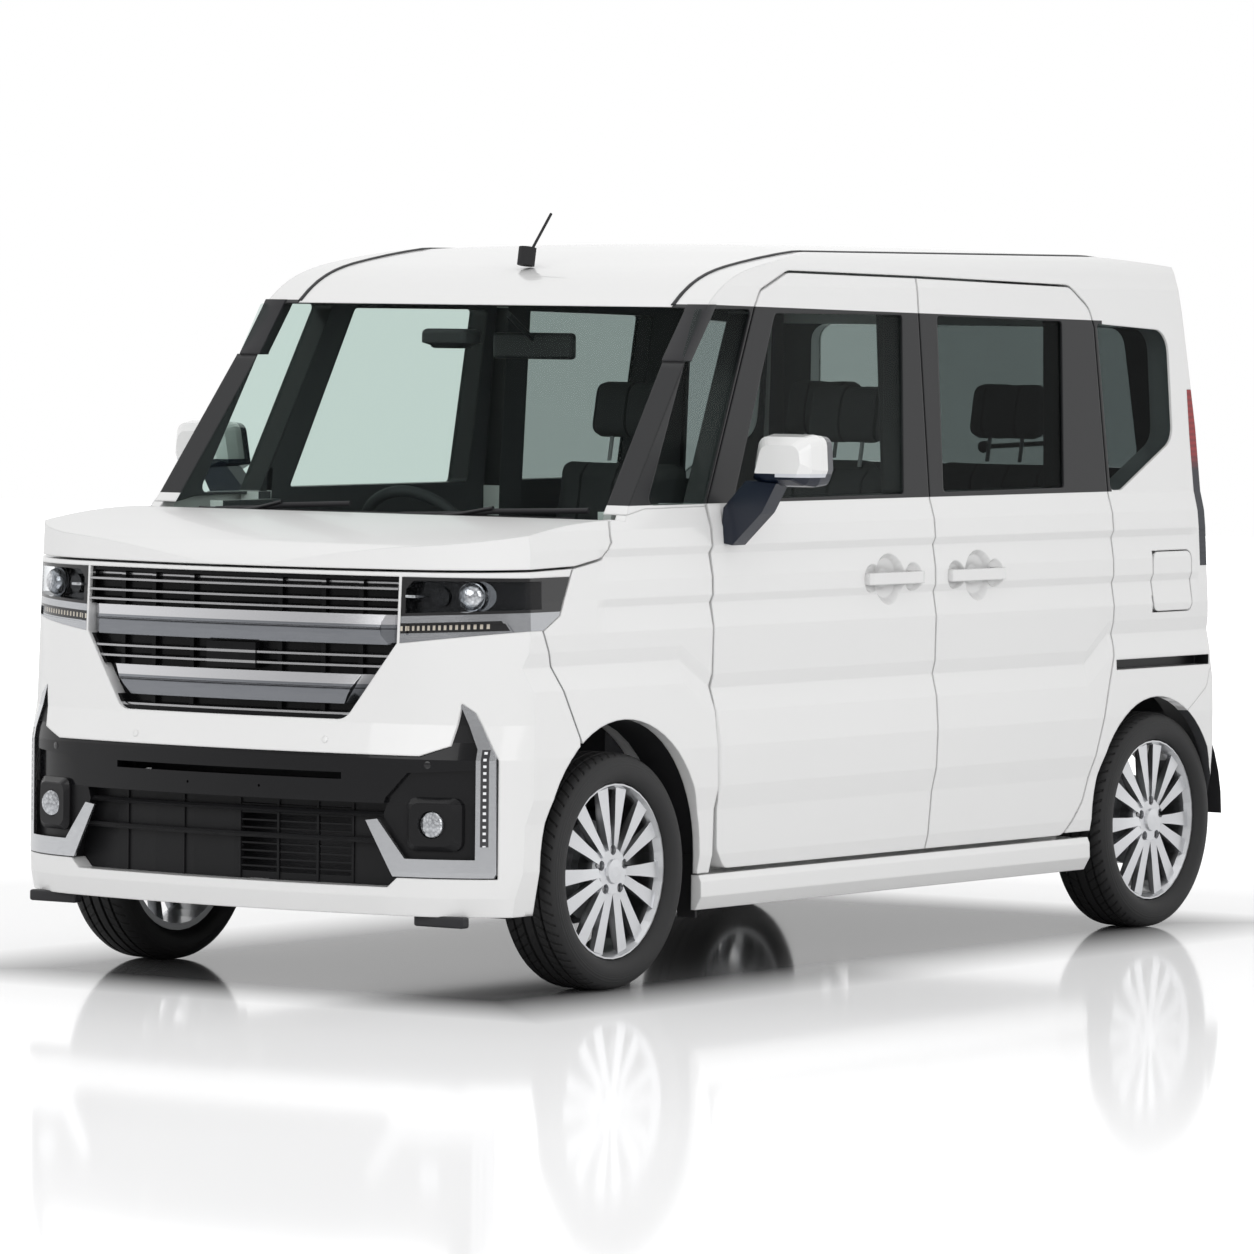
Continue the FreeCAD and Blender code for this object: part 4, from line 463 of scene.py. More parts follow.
def insertFinish():
    # glossy band above, satin pods and bars below
    finish = Finish("bumperBlack")
    speck = finish.noise(500, 4)
    band = finish.z.between(*insertPlan["band"])
    fins = finish.x.between(*insertPlan["fins"]) * finish.z.under(insertPlan["finTop"])
    colour = finish.blend(band, (0.012, 0.012, 0.013), (0.006, 0.006, 0.007))
    colour = finish.blend(fins, colour, (0.010, 0.010, 0.011))
    finish.set(Base_Color=colour, Roughness=0.36 - band * 0.20 + speck * 0.06, Specular_IOR_Level=0.2)
    finish.set(Coat_Weight=band * 0.25, Coat_Roughness=0.03)
    return finish.bump(speck, 0.12, 0.0004).material


tailPlan = {"smokedFrom": 0.693, "clear": (1.06, 1.13), "ribs": 420}


def tailLampFinish():
    # red lens with a smoked outer edge and a clear part
    finish = Finish("tailLens")
    smoked = finish.x.size().over(tailPlan["smokedFrom"], 0.004)
    clear = finish.z.between(*tailPlan["clear"])
    ribs = (finish.z * tailPlan["ribs"]).sine() * 0.5 + 0.5
    red = finish.blend(ribs, (0.20, 0.006, 0.010), (0.30, 0.010, 0.014))
    colour = finish.blend(clear, red, (0.16, 0.165, 0.18))
    colour = finish.blend(smoked, colour, (0.010, 0.013, 0.022))
    finish.set(Base_Color=colour, Roughness=0.08 + ribs * 0.05, Specular_IOR_Level=0.25)
    finish.set(Coat_Weight=0.3, Coat_Roughness=0.02)
    return finish.bump(ribs, 0.15, 0.0006).material


clothPlan = {"threads": 2600, "channels": 62, "dark": (0.035, 0.035, 0.038), "light": (0.06, 0.06, 0.065)}


def seatFinish():
    # woven cloth with sewn channels on the faces that are sat on
    finish = Finish("seatCloth")
    weave = finish.noise(1400, 3)
    warp = (finish.x * clothPlan["threads"]).sine() * (finish.z * clothPlan["threads"]).sine()
    seam = (finish.x.size() * clothPlan["channels"]).sine().over(0.965, 0.03)
    colour = finish.blend(weave, clothPlan["dark"], clothPlan["light"])
    colour = finish.blend(seam, colour, shaded(clothPlan["dark"], 0.4))
    finish.set(Base_Color=colour, Roughness=ease(weave, 0.8, 0.95))
    return finish.bump(warp * 0.3 + weave * 0.6 - seam * 3, 0.5, 0.0015).material


def lensFinish():
    # clear lamp glass over a bright bowl with facets
    finish = Finish("lampLens")
    cells = finish.add("ShaderNodeTexVoronoi", Vector=finish.place, Scale=130)
    facets = Wire(finish.tree, cells.outputs["Distance"])
    colour = finish.blend(facets, (0.80, 0.82, 0.85), (0.30, 0.31, 0.33))
    finish.set(Base_Color=colour, Metallic=ease(facets, 0.7, 0.95), Roughness=ease(facets, 0.06, 0.16))
    finish.set(Coat_Weight=1.0, Coat_Roughness=0.01)
    return finish.bump(facets, 0.3, 0.002).material


def roofUnderside(finish):
    return finish.faceZ.under(-0.1, 0.05)


def tailgateInside(finish):
    return finish.faceY.under(-0.3, 0.1) * finish.z.under(1.56)


def bumperInside(finish):
    return (finish.faceY * finish.y).under(-0.3, 0.05)


finishes = {
    "doorPaint": bodyPaint("doorPaint", windowBand, towardsCabin),
    "framePaint": bodyPaint("framePaint", windowBand, towardsCabin),
    "roofPaint": bodyPaint("roofPaint", None, roofUnderside, linerShade),
    "tailPaint": bodyPaint("tailPaint", None, tailgateInside),
    "bumperPaint": bodyPaint("bumperPaint", None, bumperInside),
    "shellPaint": bodyPaint("shellPaint"), "bonnetPaint": bodyPaint("bonnetPaint", shine=0.2),
    "blackTrim": plastic("blackTrim", (0.018, 0.018, 0.02), 0.42),
    "glossBlack": plastic("glossBlack", (0.008, 0.008, 0.009), 0.15, 300, 0.02, 0.6),
    "darkChrome": metal("darkChrome", (0.56, 0.57, 0.59), 0.15, 120, (0.15, 1, 5)), "bars": barFinish(),
    "steel": metal("steel", (0.32, 0.32, 0.33), 0.38, 240),
    "cast": metal("cast", (0.14, 0.14, 0.145), 0.55, 320, metallic=0.7, depth=0.3),
    "chassis": plastic("chassis", (0.02, 0.02, 0.022), 0.5, 260, 0.2),
    "cabin": plastic("cabin", (0.03, 0.031, 0.034), 0.65),
    "rubber": plastic("rubber", (0.016, 0.016, 0.017), 0.7, 500, 0.3),
    "clearGlass": glass("clearGlass", (0.912, 0.958, 0.940), base=0.025),
    "sideGlass": glass("sideGlass", (0.88, 0.925, 0.91), base=0.07),
    "darkGlass": glass("darkGlass", (0.55, 0.585, 0.58), base=0.06),
    "quarterGlass": glass("quarterGlass", (0.50, 0.53, 0.53), base=0.045, frontTint=(0.88, 0.925, 0.91)),
    "lampGlass": glass("lampGlass", (0.88, 0.89, 0.90), base=0.015),
    "headlamp": headlampFinish(), "grille": grilleFinish(), "fogTrim": fogTrimFinish(),
    "alloy": alloyFinish(), "tyre": tyreFinish(), "mirror": doorMirrorFinish(), "insert": insertFinish(),
    "tailLens": tailLampFinish(), "seatCloth": seatFinish(), "lens": lensFinish(),
}
# which CAD nodes have which finish; the wheels and tyres are left over
nodesOf = {
    "framePaint": ("body_frame",), "roofPaint": ("roof_panel",),
    "bumperPaint": ("front_bumper", "rear_bumper"),
    "doorPaint": ("sliding_door_left", "sliding_door_right", "front_door_left", "front_door_right"),
    "shellPaint": ("front_fenders", "side_skirts", "fuel_lid"), "bonnetPaint": ("bonnet",),
    "tailPaint": ("tailgate",), "insert": ("bumper_insert",), "fogTrim": ("fog_trims",),
    "grille": ("grille",), "bars": ("grille_bars",), "headlamp": ("headlamps",), "lampGlass": ("headlamp_lenses",),
    "clearGlass": ("windscreen",), "sideGlass": ("front_door_glass_left", "front_door_glass_right"),
    "quarterGlass": ("quarter_glass",), "darkGlass": ("sliding_door_glass", "tailgate_glass"),
    "tailLens": ("tail_lamps",), "mirror": ("door_mirror_left", "door_mirror_right"),
    "chassis": ("front_frame", "floor_pan", "radiator", "front_suspension", "rear_axle", "fuel_tank"),
    "cabin": ("dashboard", "steering_wheel"), "seatCloth": ("front_seats", "rear_seats"),
    "cast": ("engine_block", "knuckle_left", "knuckle_right"), "steel": ("exhaust",),
    "rubber": ("antenna", "mud_flaps"),
}
nodeFinish = {node: finish for finish, group in nodesOf.items() for node in group}
for name, node in nodes.items():
    kind = nodeFinish.get(name, "alloy" if name.startswith("wheel") else "tyre")
    if not node.material_slots:
        node.data.materials.append(finishes[kind])
    for materialSlot in node.material_slots:
        materialSlot.material = finishes[kind]
print("finishes given")


# modelling by hand
def deselect():
    if bpy.context.mode != "OBJECT":
        bpy.ops.object.mode_set(mode="OBJECT")
    bpy.ops.object.select_all(action="DESELECT")


def choose(item):
    deselect()
    item.select_set(True)
    bpy.context.view_layer.objects.active = item


def bake(item):
    # the object's own place and turn go into its mesh
    choose(item)
    bpy.ops.object.transform_apply(location=True, rotation=True, scale=True)


def begin(kind, name, **settings):
    deselect()
    getattr(bpy.ops.mesh, "primitive_" + kind + "_add")(**settings)
    item = bpy.context.object
    item.name = name
    return item


def pick(item, test):
    # in edit mode, the faces whose middle passes the test are selected
    if bpy.context.mode == "OBJECT":
        bpy.ops.object.mode_set(mode="EDIT")
    bpy.ops.mesh.select_mode(type="FACE")
    bpy.ops.mesh.select_all(action="DESELECT")
    shape = bmesh.from_edit_mesh(item.data)
    for face in shape.faces:
        corners = [corner.co for corner in face.verts]
        if test(item.matrix_world @ (sum(corners, Vector()) / len(corners))):
            face.select_set(True)
    bmesh.update_edit_mesh(item.data)


def everything():
    if bpy.context.mode == "OBJECT":
        bpy.ops.object.mode_set(mode="EDIT")
    bpy.ops.mesh.select_mode(type="VERT")
    bpy.ops.mesh.select_all(action="SELECT")


def drawLine(name, points):
    # corner after corner, pulled out of a single point
    item = begin("plane", name, size=0.01, location=(0, 0, 0))
    everything()
    bpy.ops.mesh.merge(type="CENTER")
    place = Vector((0, 0, 0))
    for index, point in enumerate(points):
        step = Vector(point) - place
        if index:
            bpy.ops.mesh.extrude_vertices_move(TRANSFORM_OT_translate={"value": step})
        else:
            bpy.ops.transform.translate(value=step)
        place = Vector(point)
    return item


def tidyMesh():
    everything()
    bpy.ops.mesh.remove_doubles(threshold=0.00001)
    bpy.ops.mesh.normals_make_consistent(inside=False)


def turned(name, profile, centre, axis, steps):
    # profile points are (along the axis, away from it)
    axis = Vector(axis).normalized()
    centre = Vector(centre)
    side = axis.orthogonal().normalized()
    item = drawLine(name, [centre + axis * along + side * out for along, out in profile])
    everything()
    bpy.ops.mesh.spin(steps=steps, angle=math.tau, center=centre, axis=axis)
    tidyMesh()
    return item


def roundedBlock(name, low, high, edge, segments=3):
    middle = (Vector(low) + Vector(high)) / 2
    item = begin("cube", name, size=1, location=middle)
    bpy.ops.transform.resize(value=Vector(high) - Vector(low))
    bpy.ops.object.transform_apply(location=False, rotation=False, scale=True)
    everything()
    bpy.ops.mesh.bevel(offset=edge, segments=segments, affect="EDGES")
    return item


def pulled(name, path, wide, high, along, sides=10):
    # an oval section pulled along a path
    rotation = {"y": (math.pi / 2, 0, 0), "x": (0, math.pi / 2, 0), "z": (0, 0, 0)}[along]
    shape = {"y": (wide, 1, high), "x": (1, wide, high), "z": (wide, high, 1)}[along]
    item = begin("circle", name, vertices=sides, radius=0.5, fill_type="NGON", location=path[0],
                 rotation=rotation)
    everything()
    bpy.ops.transform.resize(value=shape)
    for before, after in zip(path, path[1:]):
        bpy.ops.mesh.extrude_region_move(TRANSFORM_OT_translate={"value": Vector(after) - Vector(before)})
    tidyMesh()
    return item


def joined(name, *items):
    deselect()
    for item in items:
        item.select_set(True)
    bpy.context.view_layer.objects.active = items[0]
    bpy.ops.object.join()
    items[0].name = name
    return items[0]


def settle(item, finish, body, angle, stands=()):
    # finish, smooth shading below the angle, body, material slot and the CAD nodes it stands for
    bake(item)
    bpy.ops.object.shade_smooth_by_angle(angle=math.radians(angle))
    item.data.materials.clear()
    item.data.materials.append(finishes[finish])
    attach(item, body)
    if stands:
        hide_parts(*stands)
    return item


def copied(item, name, move=(0, 0, 0), mirror=False):
    # a copy with its own mesh, moved or mirrored to the other side
    choose(item)
    bpy.ops.object.duplicate(linked=False)
    twin = bpy.context.object
    twin.name = name
    twin.parent = None
    everything()
    if mirror:
        bpy.ops.transform.mirror(constraint_axis=(True, False, False), center_override=(0, 0, 0))
        bpy.ops.mesh.flip_normals()
    bpy.ops.transform.translate(value=move)
    deselect()
    return twin


# starts of the straight lines that find a surface from in front, from behind and from above
inFront, behind, overhead = -2.0, 3.0, 2.5


def onto(node, start, direction):
    # where a straight line meets a CAD node, and the way its surface faces there
    found, place, facing, index = nodes[node].ray_cast(Vector(start), Vector(direction))
    return (place, facing) if found else (Vector(start), -Vector(direction))


def onFourWheels(item, stem):
    # the front left piece and its copies for the other wheels
    backwards = (0, wheelPlan["rear"] - wheelPlan["front"], 0)
    rear = copied(item, stem + "RearLeft", backwards)
    frontRight = copied(item, stem + "FrontRight", mirror=True)
    rearRight = copied(rear, stem + "RearRight", mirror=True)
    return {"front_left": item, "rear_left": rear, "front_right": frontRight, "rear_right": rearRight}


bpy.context.view_layer.update()

# tyres: half profile from bead to tread, as (across, radius), with two of the four grooves
tyreShape = {"inside": 0.2015, "steps": 120, "profile": (
    (0.0555, 0.2085), (0.0660, 0.2105), (0.0765, 0.2190), (0.0815, 0.2300), (0.0822, 0.2420),
    (0.0800, 0.2560), (0.0762, 0.2655), (0.0700, 0.2722), (0.0610, 0.2772), (0.0530, 0.2792),
    (0.0445, 0.2802), (0.0440, 0.2738), (0.0382, 0.2738), (0.0377, 0.2805), (0.0182, 0.2809),
    (0.0178, 0.2740), (0.0102, 0.2740), (0.0098, 0.2809))}
half = tyreShape["profile"]
beadAcross, beadRadius = half[0]
ring = [(-across, radius) for across, radius in half] + list(reversed(half))
ring += [(beadAcross, tyreShape["inside"]), (-beadAcross, tyreShape["inside"]), (-beadAcross, beadRadius)]
hubPlace = (wheelPlan["x"], wheelPlan["front"], wheelPlan["height"])
tyre = turned("tyreFrontLeft", ring, hubPlace, (1, 0, 0), tyreShape["steps"])
for place, item in onFourWheels(tyre, "tyre").items():
    settle(item, "tyre", "wheel_" + place, 30, ("tyre_" + place,))
print("tyres made")

# wheel nuts
nutShape = {"circle": 0.050, "radius": 0.0088, "face": 0.6895, "height": 0.013, "turn": 0.25, "count": 5,
            "inset": 0.003, "crown": 0.002}
nuts = []
for index in range(nutShape["count"]):
    angle = math.tau * (index + nutShape["turn"]) / nutShape["count"]
    y = wheelPlan["front"] + nutShape["circle"] * math.cos(angle)
    z = wheelPlan["height"] + nutShape["circle"] * math.sin(angle)
    nut = begin("cylinder", "nut", vertices=6, radius=nutShape["radius"], depth=nutShape["height"],
                location=(nutShape["face"], y, z), rotation=(0, math.pi / 2, 0))
    pick(nut, lambda middle: middle.x > nutShape["face"] + 0.4 * nutShape["height"])
    bpy.ops.mesh.inset(thickness=nutShape["inset"])
    bpy.ops.transform.translate(value=(nutShape["crown"], 0, 0))
    deselect()
    nuts.append(nut)
nutSet = joined("wheelNutsFrontLeft", *nuts)
bake(nutSet)
for place, item in onFourWheels(nutSet, "wheelNuts").items():
    settle(item, "steel", "wheel_" + place, 25)
print("wheel nuts made")

# steering wheel: rim, hub and three spokes
wheelRim = {
    "centre": (-0.345, -0.430, 0.985), "lean": 28, "radius": 0.178, "thick": 0.0145,
    "hub": ((-0.078, 0.014), (-0.03, 0.016), (-0.026, 0.058), (0.004, 0.064), (0.014, 0.052), (0.018, 0.0)),
    "spokes": (((-0.170, -0.014, -0.010), (0.170, 0.014, 0.004)),
               ((-0.016, -0.170, -0.010), (0.016, 0.0, 0.004)))}
lean = math.radians(wheelRim["lean"])
spinAxis = Vector((0, math.cos(lean), math.sin(lean)))
facing = spinAxis.to_track_quat("Z", "Y").to_euler()
rim = begin("torus", "steeringRim", major_radius=wheelRim["radius"], minor_radius=wheelRim["thick"],
            major_segments=64, minor_segments=14, location=wheelRim["centre"], rotation=facing)
hub = turned("steeringHub", wheelRim["hub"], wheelRim["centre"], spinAxis, 32)
onColumn = Matrix.Translation(wheelRim["centre"]) @ facing.to_matrix().to_4x4()
spokes = []
for index, (low, high) in enumerate(wheelRim["spokes"]):
    spoke = roundedBlock("steeringSpoke" + str(index), low, high, 0.004)
    deselect()
    spoke.matrix_world = onColumn @ spoke.matrix_world
    spokes.append(spoke)
steering = joined("steeringWheel", rim, hub, *spokes)
settle(steering, "cabin", "steering_wheel", 40, ("steering_wheel",))
print("steering wheel made")

# seats: cushion, back and headrest are blown up like foam under cloth
seatPlan = {"voxel": 0.012, "pressure": 4.0, "puff": 0.022, "frames": 20, "tilt": 12, "width": 0.47,
            "low": 0.33, "deep": 0.47, "cushion": (0.165, 0.275), "hinge": (0.24, 0.23), "back": 0.675,
            "backThick": 0.09, "edge": 0.030, "seam": 0.06, "dip": 0.012, "restWide": 0.224,
            "restThick": 0.060, "rest": (0.722, 0.868), "restEdge": 0.026}
headrestPost = {"up": 0.66, "length": 0.085, "aside": 0.05, "thick": 0.011}
seatBase = {"low": (-0.19, -0.18, 0.331), "high": (0.19, 0.20, 0.50), "edge": 0.012}


def inflate(item):
    remesh = item.modifiers.new("remesh", "REMESH")
    remesh.mode = "VOXEL"
    remesh.voxel_size = seatPlan["voxel"]
    choose(item)
    bpy.ops.object.modifier_apply(modifier="remesh")
    before = [corner.co.copy() for corner in item.data.vertices]
    cloth = item.modifiers.new("cloth", "CLOTH")
    cloth.settings.use_pressure = True
    cloth.settings.uniform_pressure_force = seatPlan["pressure"]
    cloth.settings.effector_weights.gravity = 0
    for step in range(1, seatPlan["frames"] + 1):
        scene.frame_set(step)
    bpy.ops.object.modifier_apply(modifier="cloth")
    for corner, start in zip(item.data.vertices, before):
        move = corner.co - start
        if move.length > seatPlan["puff"]:
            corner.co = start + move * (seatPlan["puff"] / move.length)
    scene.frame_set(1)
    smooth = item.modifiers.new("smooth", "SUBSURF")
    smooth.levels = 1
    smooth.render_levels = 1
    bpy.ops.object.modifier_apply(modifier="smooth")
    return item


def upright(name, halfWide, halfThick, low, high, edge):
    return roundedBlock(name, (-halfWide, -halfThick, low), (halfWide, halfThick, high), edge)


def sunken(item, test, move):
    # the faces that are sat on or leant against sink inside a seam
    pick(item, test)
    bpy.ops.mesh.inset(thickness=seatPlan["seam"])
    bpy.ops.transform.translate(value=move)
    deselect()


def seatForms():
    # one seat at x 0 and y 0, as three pads
    half, low, edge = seatPlan["width"] / 2, seatPlan["low"], seatPlan["edge"]
    deep, dip = seatPlan["deep"] / 2, seatPlan["dip"]
    under, top = [low + height for height in seatPlan["cushion"]]
    cushion = roundedBlock("cushion", (-half, -deep, under), (half, deep, top), edge)
    sunken(cushion, lambda middle: middle.z > top - edge / 2, (0, 0, -dip))
    back = upright("backrest", half, seatPlan["backThick"] / 2, 0.02, seatPlan["back"], edge)
    pick(back, lambda middle: middle.z > 0.6)
    bpy.ops.transform.resize(value=(0.82, 0.85, 1))
    sunken(back, lambda middle: middle.y < -0.04, (0, dip, 0))
    rest = upright("headrest", seatPlan["restWide"] / 2, seatPlan["restThick"] / 2, *seatPlan["rest"],
                   seatPlan["restEdge"])
    deselect()
    forms = [inflate(item) for item in (cushion, back, rest)]
    hingeY, hingeUp = seatPlan["hinge"]
    tilted = Matrix.Rotation(-math.radians(seatPlan["tilt"]), 4, "X")
    tilted = Matrix.Translation((0, hingeY, low + hingeUp)) @ tilted
    for item in forms[1:]:
        item.matrix_world = tilted @ item.matrix_world
        bake(item)
    return forms


def headrestPosts(name, x, y):
    # two steel posts between backrest and headrest, along the seat's tilt
    lean = math.radians(seatPlan["tilt"])
    along = Vector((0, math.sin(lean), math.cos(lean)))
    hingeY, hingeUp = seatPlan["hinge"]
    foot = Vector((x, y + hingeY, seatPlan["low"] + hingeUp)) + along * headrestPost["up"]
    rise = along * headrestPost["length"]
    posts = []
    for shift in (-headrestPost["aside"], headrestPost["aside"]):
        start = foot + Vector((shift, 0, 0))
        path = (start, start + rise * 0.5, start + rise)
        posts.append(pulled("post", path, headrestPost["thick"], headrestPost["thick"], "z"))
    return joined(name, *posts)


forms = seatForms()
seatPlaces = {"FrontLeft": (0.335, 0.06, "front_seats"), "FrontRight": (-0.335, 0.06, "front_seats"),
              "RearLeft": (0.29, 0.90, "rear_seats"), "RearRight": (-0.29, 0.90, "rear_seats")}
for place, (x, y, node) in seatPlaces.items():
    for form in forms:
        pad = copied(form, form.name + place, (x, y, 0))
        settle(pad, "seatCloth", "shell", 60, (node,))
    low, high = [Vector((x, y, 0)) + Vector(seatBase[corner]) for corner in ("low", "high")]
    base = roundedBlock("seatBase" + place, low, high, seatBase["edge"])
    settle(base, "cabin", "shell", 30, (node,))
    settle(headrestPosts("headrestPosts" + place, x, y), "steel", "shell", 40, (node,))
for form in forms:
    bpy.data.objects.remove(form)
print("seats made")

# lamps: projector and fog lamp lenses
lampPlan = {
    "bulb": (0.606, -1.530, 0.936), "aim": (0.25, -1, 0), "steps": 40,
    "bulbShape": ((0.024, 0.0315), (0.030, 0.0300), (0.037, 0.0240), (0.041, 0.0130), (0.042, 0.0)),
    "fog": (0.560, -1.6250, 0.410),
    "fogShape": ((-0.001, 0.0305), (0.004, 0.0305), (0.007, 0.0285), (0.0085, 0.018), (0.009, 0.0)),
    "bar": ((0.478, -1.628, 0.9320), (0.506, -1.590, 0.9385)), "barEdge": 0.0015}
projector = turned("projectorLeft", lampPlan["bulbShape"], lampPlan["bulb"], lampPlan["aim"],
                   lampPlan["steps"])
fog = turned("fogLensLeft", lampPlan["fogShape"], lampPlan["fog"], (0, -1, 0), lampPlan["steps"])
bar = roundedBlock("lampBarLeft", *lampPlan["bar"], lampPlan["barEdge"])
for item, twinName in ((projector, "projectorRight"), (fog, "fogLensRight"), (bar, "lampBarRight")):
    twin = copied(item, twinName, mirror=True)
    for side in (item, twin):
        settle(side, "lens", "shell", 30)
print("lamp lenses made")

# round sensors: chin and both ends of the black band
sensorPlan = {"radius": 0.0085, "stand": 0.0012, "chin": ((-0.271, 0.590), (0.284, 0.598)),
              "band": (0.548, 0.548)}


def sensor(name, x, z, node, finish):
    place, outward = onto(node, (x, inFront, z), (0, 1, 0))
    radius, stand = sensorPlan["radius"], sensorPlan["stand"]
    rings = ((-0.002, radius), (stand * 0.6, radius), (stand, radius * 0.86), (stand, 0.0))
    settle(turned(name, rings, place, outward, 24), finish, "shell", 30)


for index, (x, z) in enumerate(sensorPlan["chin"]):
    sensor("chinSensor" + str(index), x, z, "front_bumper", "shellPaint")
x, z = sensorPlan["band"]
sensor("bandSensorLeft", x, z, "bumper_insert", "glossBlack")
sensor("bandSensorRight", -x, z, "bumper_insert", "glossBlack")
print("sensors made")

# wipers lie along the foot of the windscreen
wiperPlan = {"blades": ((-0.50, -0.10), (0.06, 0.60)), "low": 1.104, "high": 1.120, "lift": 0.010,
             "thick": 0.011, "steps": 6, "arm": ((0, (0, -0.012, -0.014)), (2, (0, -0.006, 0.001)),
                                                 (3, (0, -0.004, 0.008))), "armSize": (0.012, 0.010)}
for index, (inner, outer) in enumerate(wiperPlan["blades"]):
    path = []
    for step in range(wiperPlan["steps"] + 1):
        x = inner + (outer - inner) * step / wiperPlan["steps"]
        z = wiperPlan["low"] + (wiperPlan["high"] - wiperPlan["low"]) * step / wiperPlan["steps"]
        place, outward = onto("windscreen", (x, inFront, z), (0, 1, 0))
        path.append(place + outward * wiperPlan["lift"])
    blade = pulled("wiperBlade" + str(index), path, wiperPlan["thick"], wiperPlan["thick"] * 1.3, "x")
    armPath = [path[step] + Vector(shift) for step, shift in wiperPlan["arm"]]
    arm = pulled("wiperArm" + str(index), armPath, *wiperPlan["armSize"], "x")
    settle(joined("wiper" + str(index), blade, arm), "blackTrim", "shell", 40)
print("wipers made")

# inner mirror and the camera pod behind the windscreen
podPlan = {"pod": ((-0.165, -0.700, 1.500), (-0.030, -0.620, 1.548)), "edge": 0.014,
           "mirror": ((-0.09, -0.500, 1.475), (0.15, -0.475, 1.540)), "mirrorEdge": 0.010,
           "stem": ((0.03, -0.600, 1.585), (0.03, -0.490, 1.520)), "stemThick": 0.016}
pod = roundedBlock("cameraPod", *podPlan["pod"], podPlan["edge"])
podFoot = podPlan["pod"][0][2]
pick(pod, lambda middle: middle.z < podFoot + 0.01)
bpy.ops.transform.resize(value=(0.7, 0.8, 1))
settle(pod, "blackTrim", "shell", 40)
mirrorShell = roundedBlock("mirrorShell", *podPlan["mirror"], podPlan["mirrorEdge"])
stem = pulled("mirrorStem", podPlan["stem"], podPlan["stemThick"], podPlan["stemThick"], "y")
settle(joined("innerMirror", mirrorShell, stem), "blackTrim", "shell", 40)
print("inner mirror made")

# black strips along the roof joints
ditchPlan = {"x": 0.5598, "inside": 0.001, "front": -0.700, "rear": 1.490, "steps": 60, "wide": 0.012,
             "high": 0.007, "lift": 0.0012}
for side, name in ((1, "roofStripLeft"), (-1, "roofStripRight")):
    path = []
    for step in range(ditchPlan["steps"] + 1):
        y = ditchPlan["front"] + (ditchPlan["rear"] - ditchPlan["front"]) * step / ditchPlan["steps"]
        start = (side * (ditchPlan["x"] - ditchPlan["inside"]), y, overhead)
        place, outward = onto("roof_panel", start, (0, 0, -1))
        # where the roof is missed the line's own start comes back
        if place.z < overhead:
            path.append(Vector((side * ditchPlan["x"], y, place.z + ditchPlan["lift"])))
    strip = pulled(name, path, ditchPlan["wide"], ditchPlan["high"], "y")
    settle(strip, "blackTrim", "shell", 40)
print("roof strips made")

# tops of the windscreen pillars, between the windscreen and the small front window
pillarPlan = {"centre": 0.6335, "wide": 0.062, "deep": 0.040, "inset": 0.590, "back": 0.0195,
              "heights": (1.480, 1.50, 1.53, 1.56, 1.59, 1.613), "glassTop": 1.595, "slope": 0.7,
              "thin": 0.004, "edge": 0.003}
for side, name in ((1, "pillarTopLeft"), (-1, "pillarTopRight")):
    path = []
    for height in pillarPlan["heights"]:
        onGlass = min(height, pillarPlan["glassTop"])
        place, outward = onto("windscreen", (side * pillarPlan["inset"], inFront, onGlass), (0, 1, 0))
        y = place.y + pillarPlan["back"] + (height - onGlass) * pillarPlan["slope"]
        path.append(Vector((side * pillarPlan["centre"], y, height)))
    cap = begin("cube", name, size=1, location=path[0])
    bpy.ops.transform.resize(value=(pillarPlan["wide"], pillarPlan["deep"], pillarPlan["thin"]))
    bpy.ops.object.transform_apply(location=False, rotation=False, scale=True)
    pick(cap, lambda middle: middle.z > path[0].z + pillarPlan["thin"] / 4)
    for before, after in zip(path, path[1:]):
        bpy.ops.mesh.extrude_region_move(TRANSFORM_OT_translate={"value": after - before})
    tidyMesh()
    bpy.ops.mesh.select_all(action="SELECT")
    bpy.ops.mesh.bevel(offset=pillarPlan["edge"], segments=2, affect="EDGES", clamp_overlap=True)
    settle(cap, "blackTrim", "shell", 30)
print("pillar tops made")

# liners in the wheel arches
linerPlan = {"radius": 0.3585, "inner": 0.600, "outer": 0.706, "steps": 40, "openBelow": 0.02, "wall": 0.002}
for side, sideName in ((1, "Left"), (-1, "Right")):
    for row in ("Front", "Rear"):
        x = side * (linerPlan["inner"] + linerPlan["outer"]) / 2
        liner = begin("cylinder", "archLiner" + row + sideName, vertices=linerPlan["steps"],
                      radius=linerPlan["radius"], depth=linerPlan["outer"] - linerPlan["inner"],
                      end_fill_type="NOTHING", rotation=(0, math.pi / 2, 0),
                      location=(x, wheelPlan[row.lower()], wheelPlan["height"]))
        pick(liner, lambda place: place.z < wheelPlan["height"] + linerPlan["openBelow"])
        bpy.ops.mesh.delete(type="FACE")
        everything()
        bpy.ops.mesh.flip_normals()
        choose(liner)
        wall = liner.modifiers.new("wall", "SOLIDIFY")
        wall.thickness = linerPlan["wall"]
        wall.offset = -1
        bpy.ops.object.modifier_apply(modifier="wall")
        settle(liner, "chassis", "shell", 40)
print("arch liners made")

# small spoilers under the bumper's corners
lipPlan = {"left": ((0.500, -1.615, 0.172), (0.640, -1.585, 0.1985)), "edge": 0.006}
lip = roundedBlock("underLipLeft", *lipPlan["left"], lipPlan["edge"])
twin = copied(lip, "underLipRight", mirror=True)
for item in (lip, twin):
    settle(item, "blackTrim", "shell", 30)
print("spoilers made")

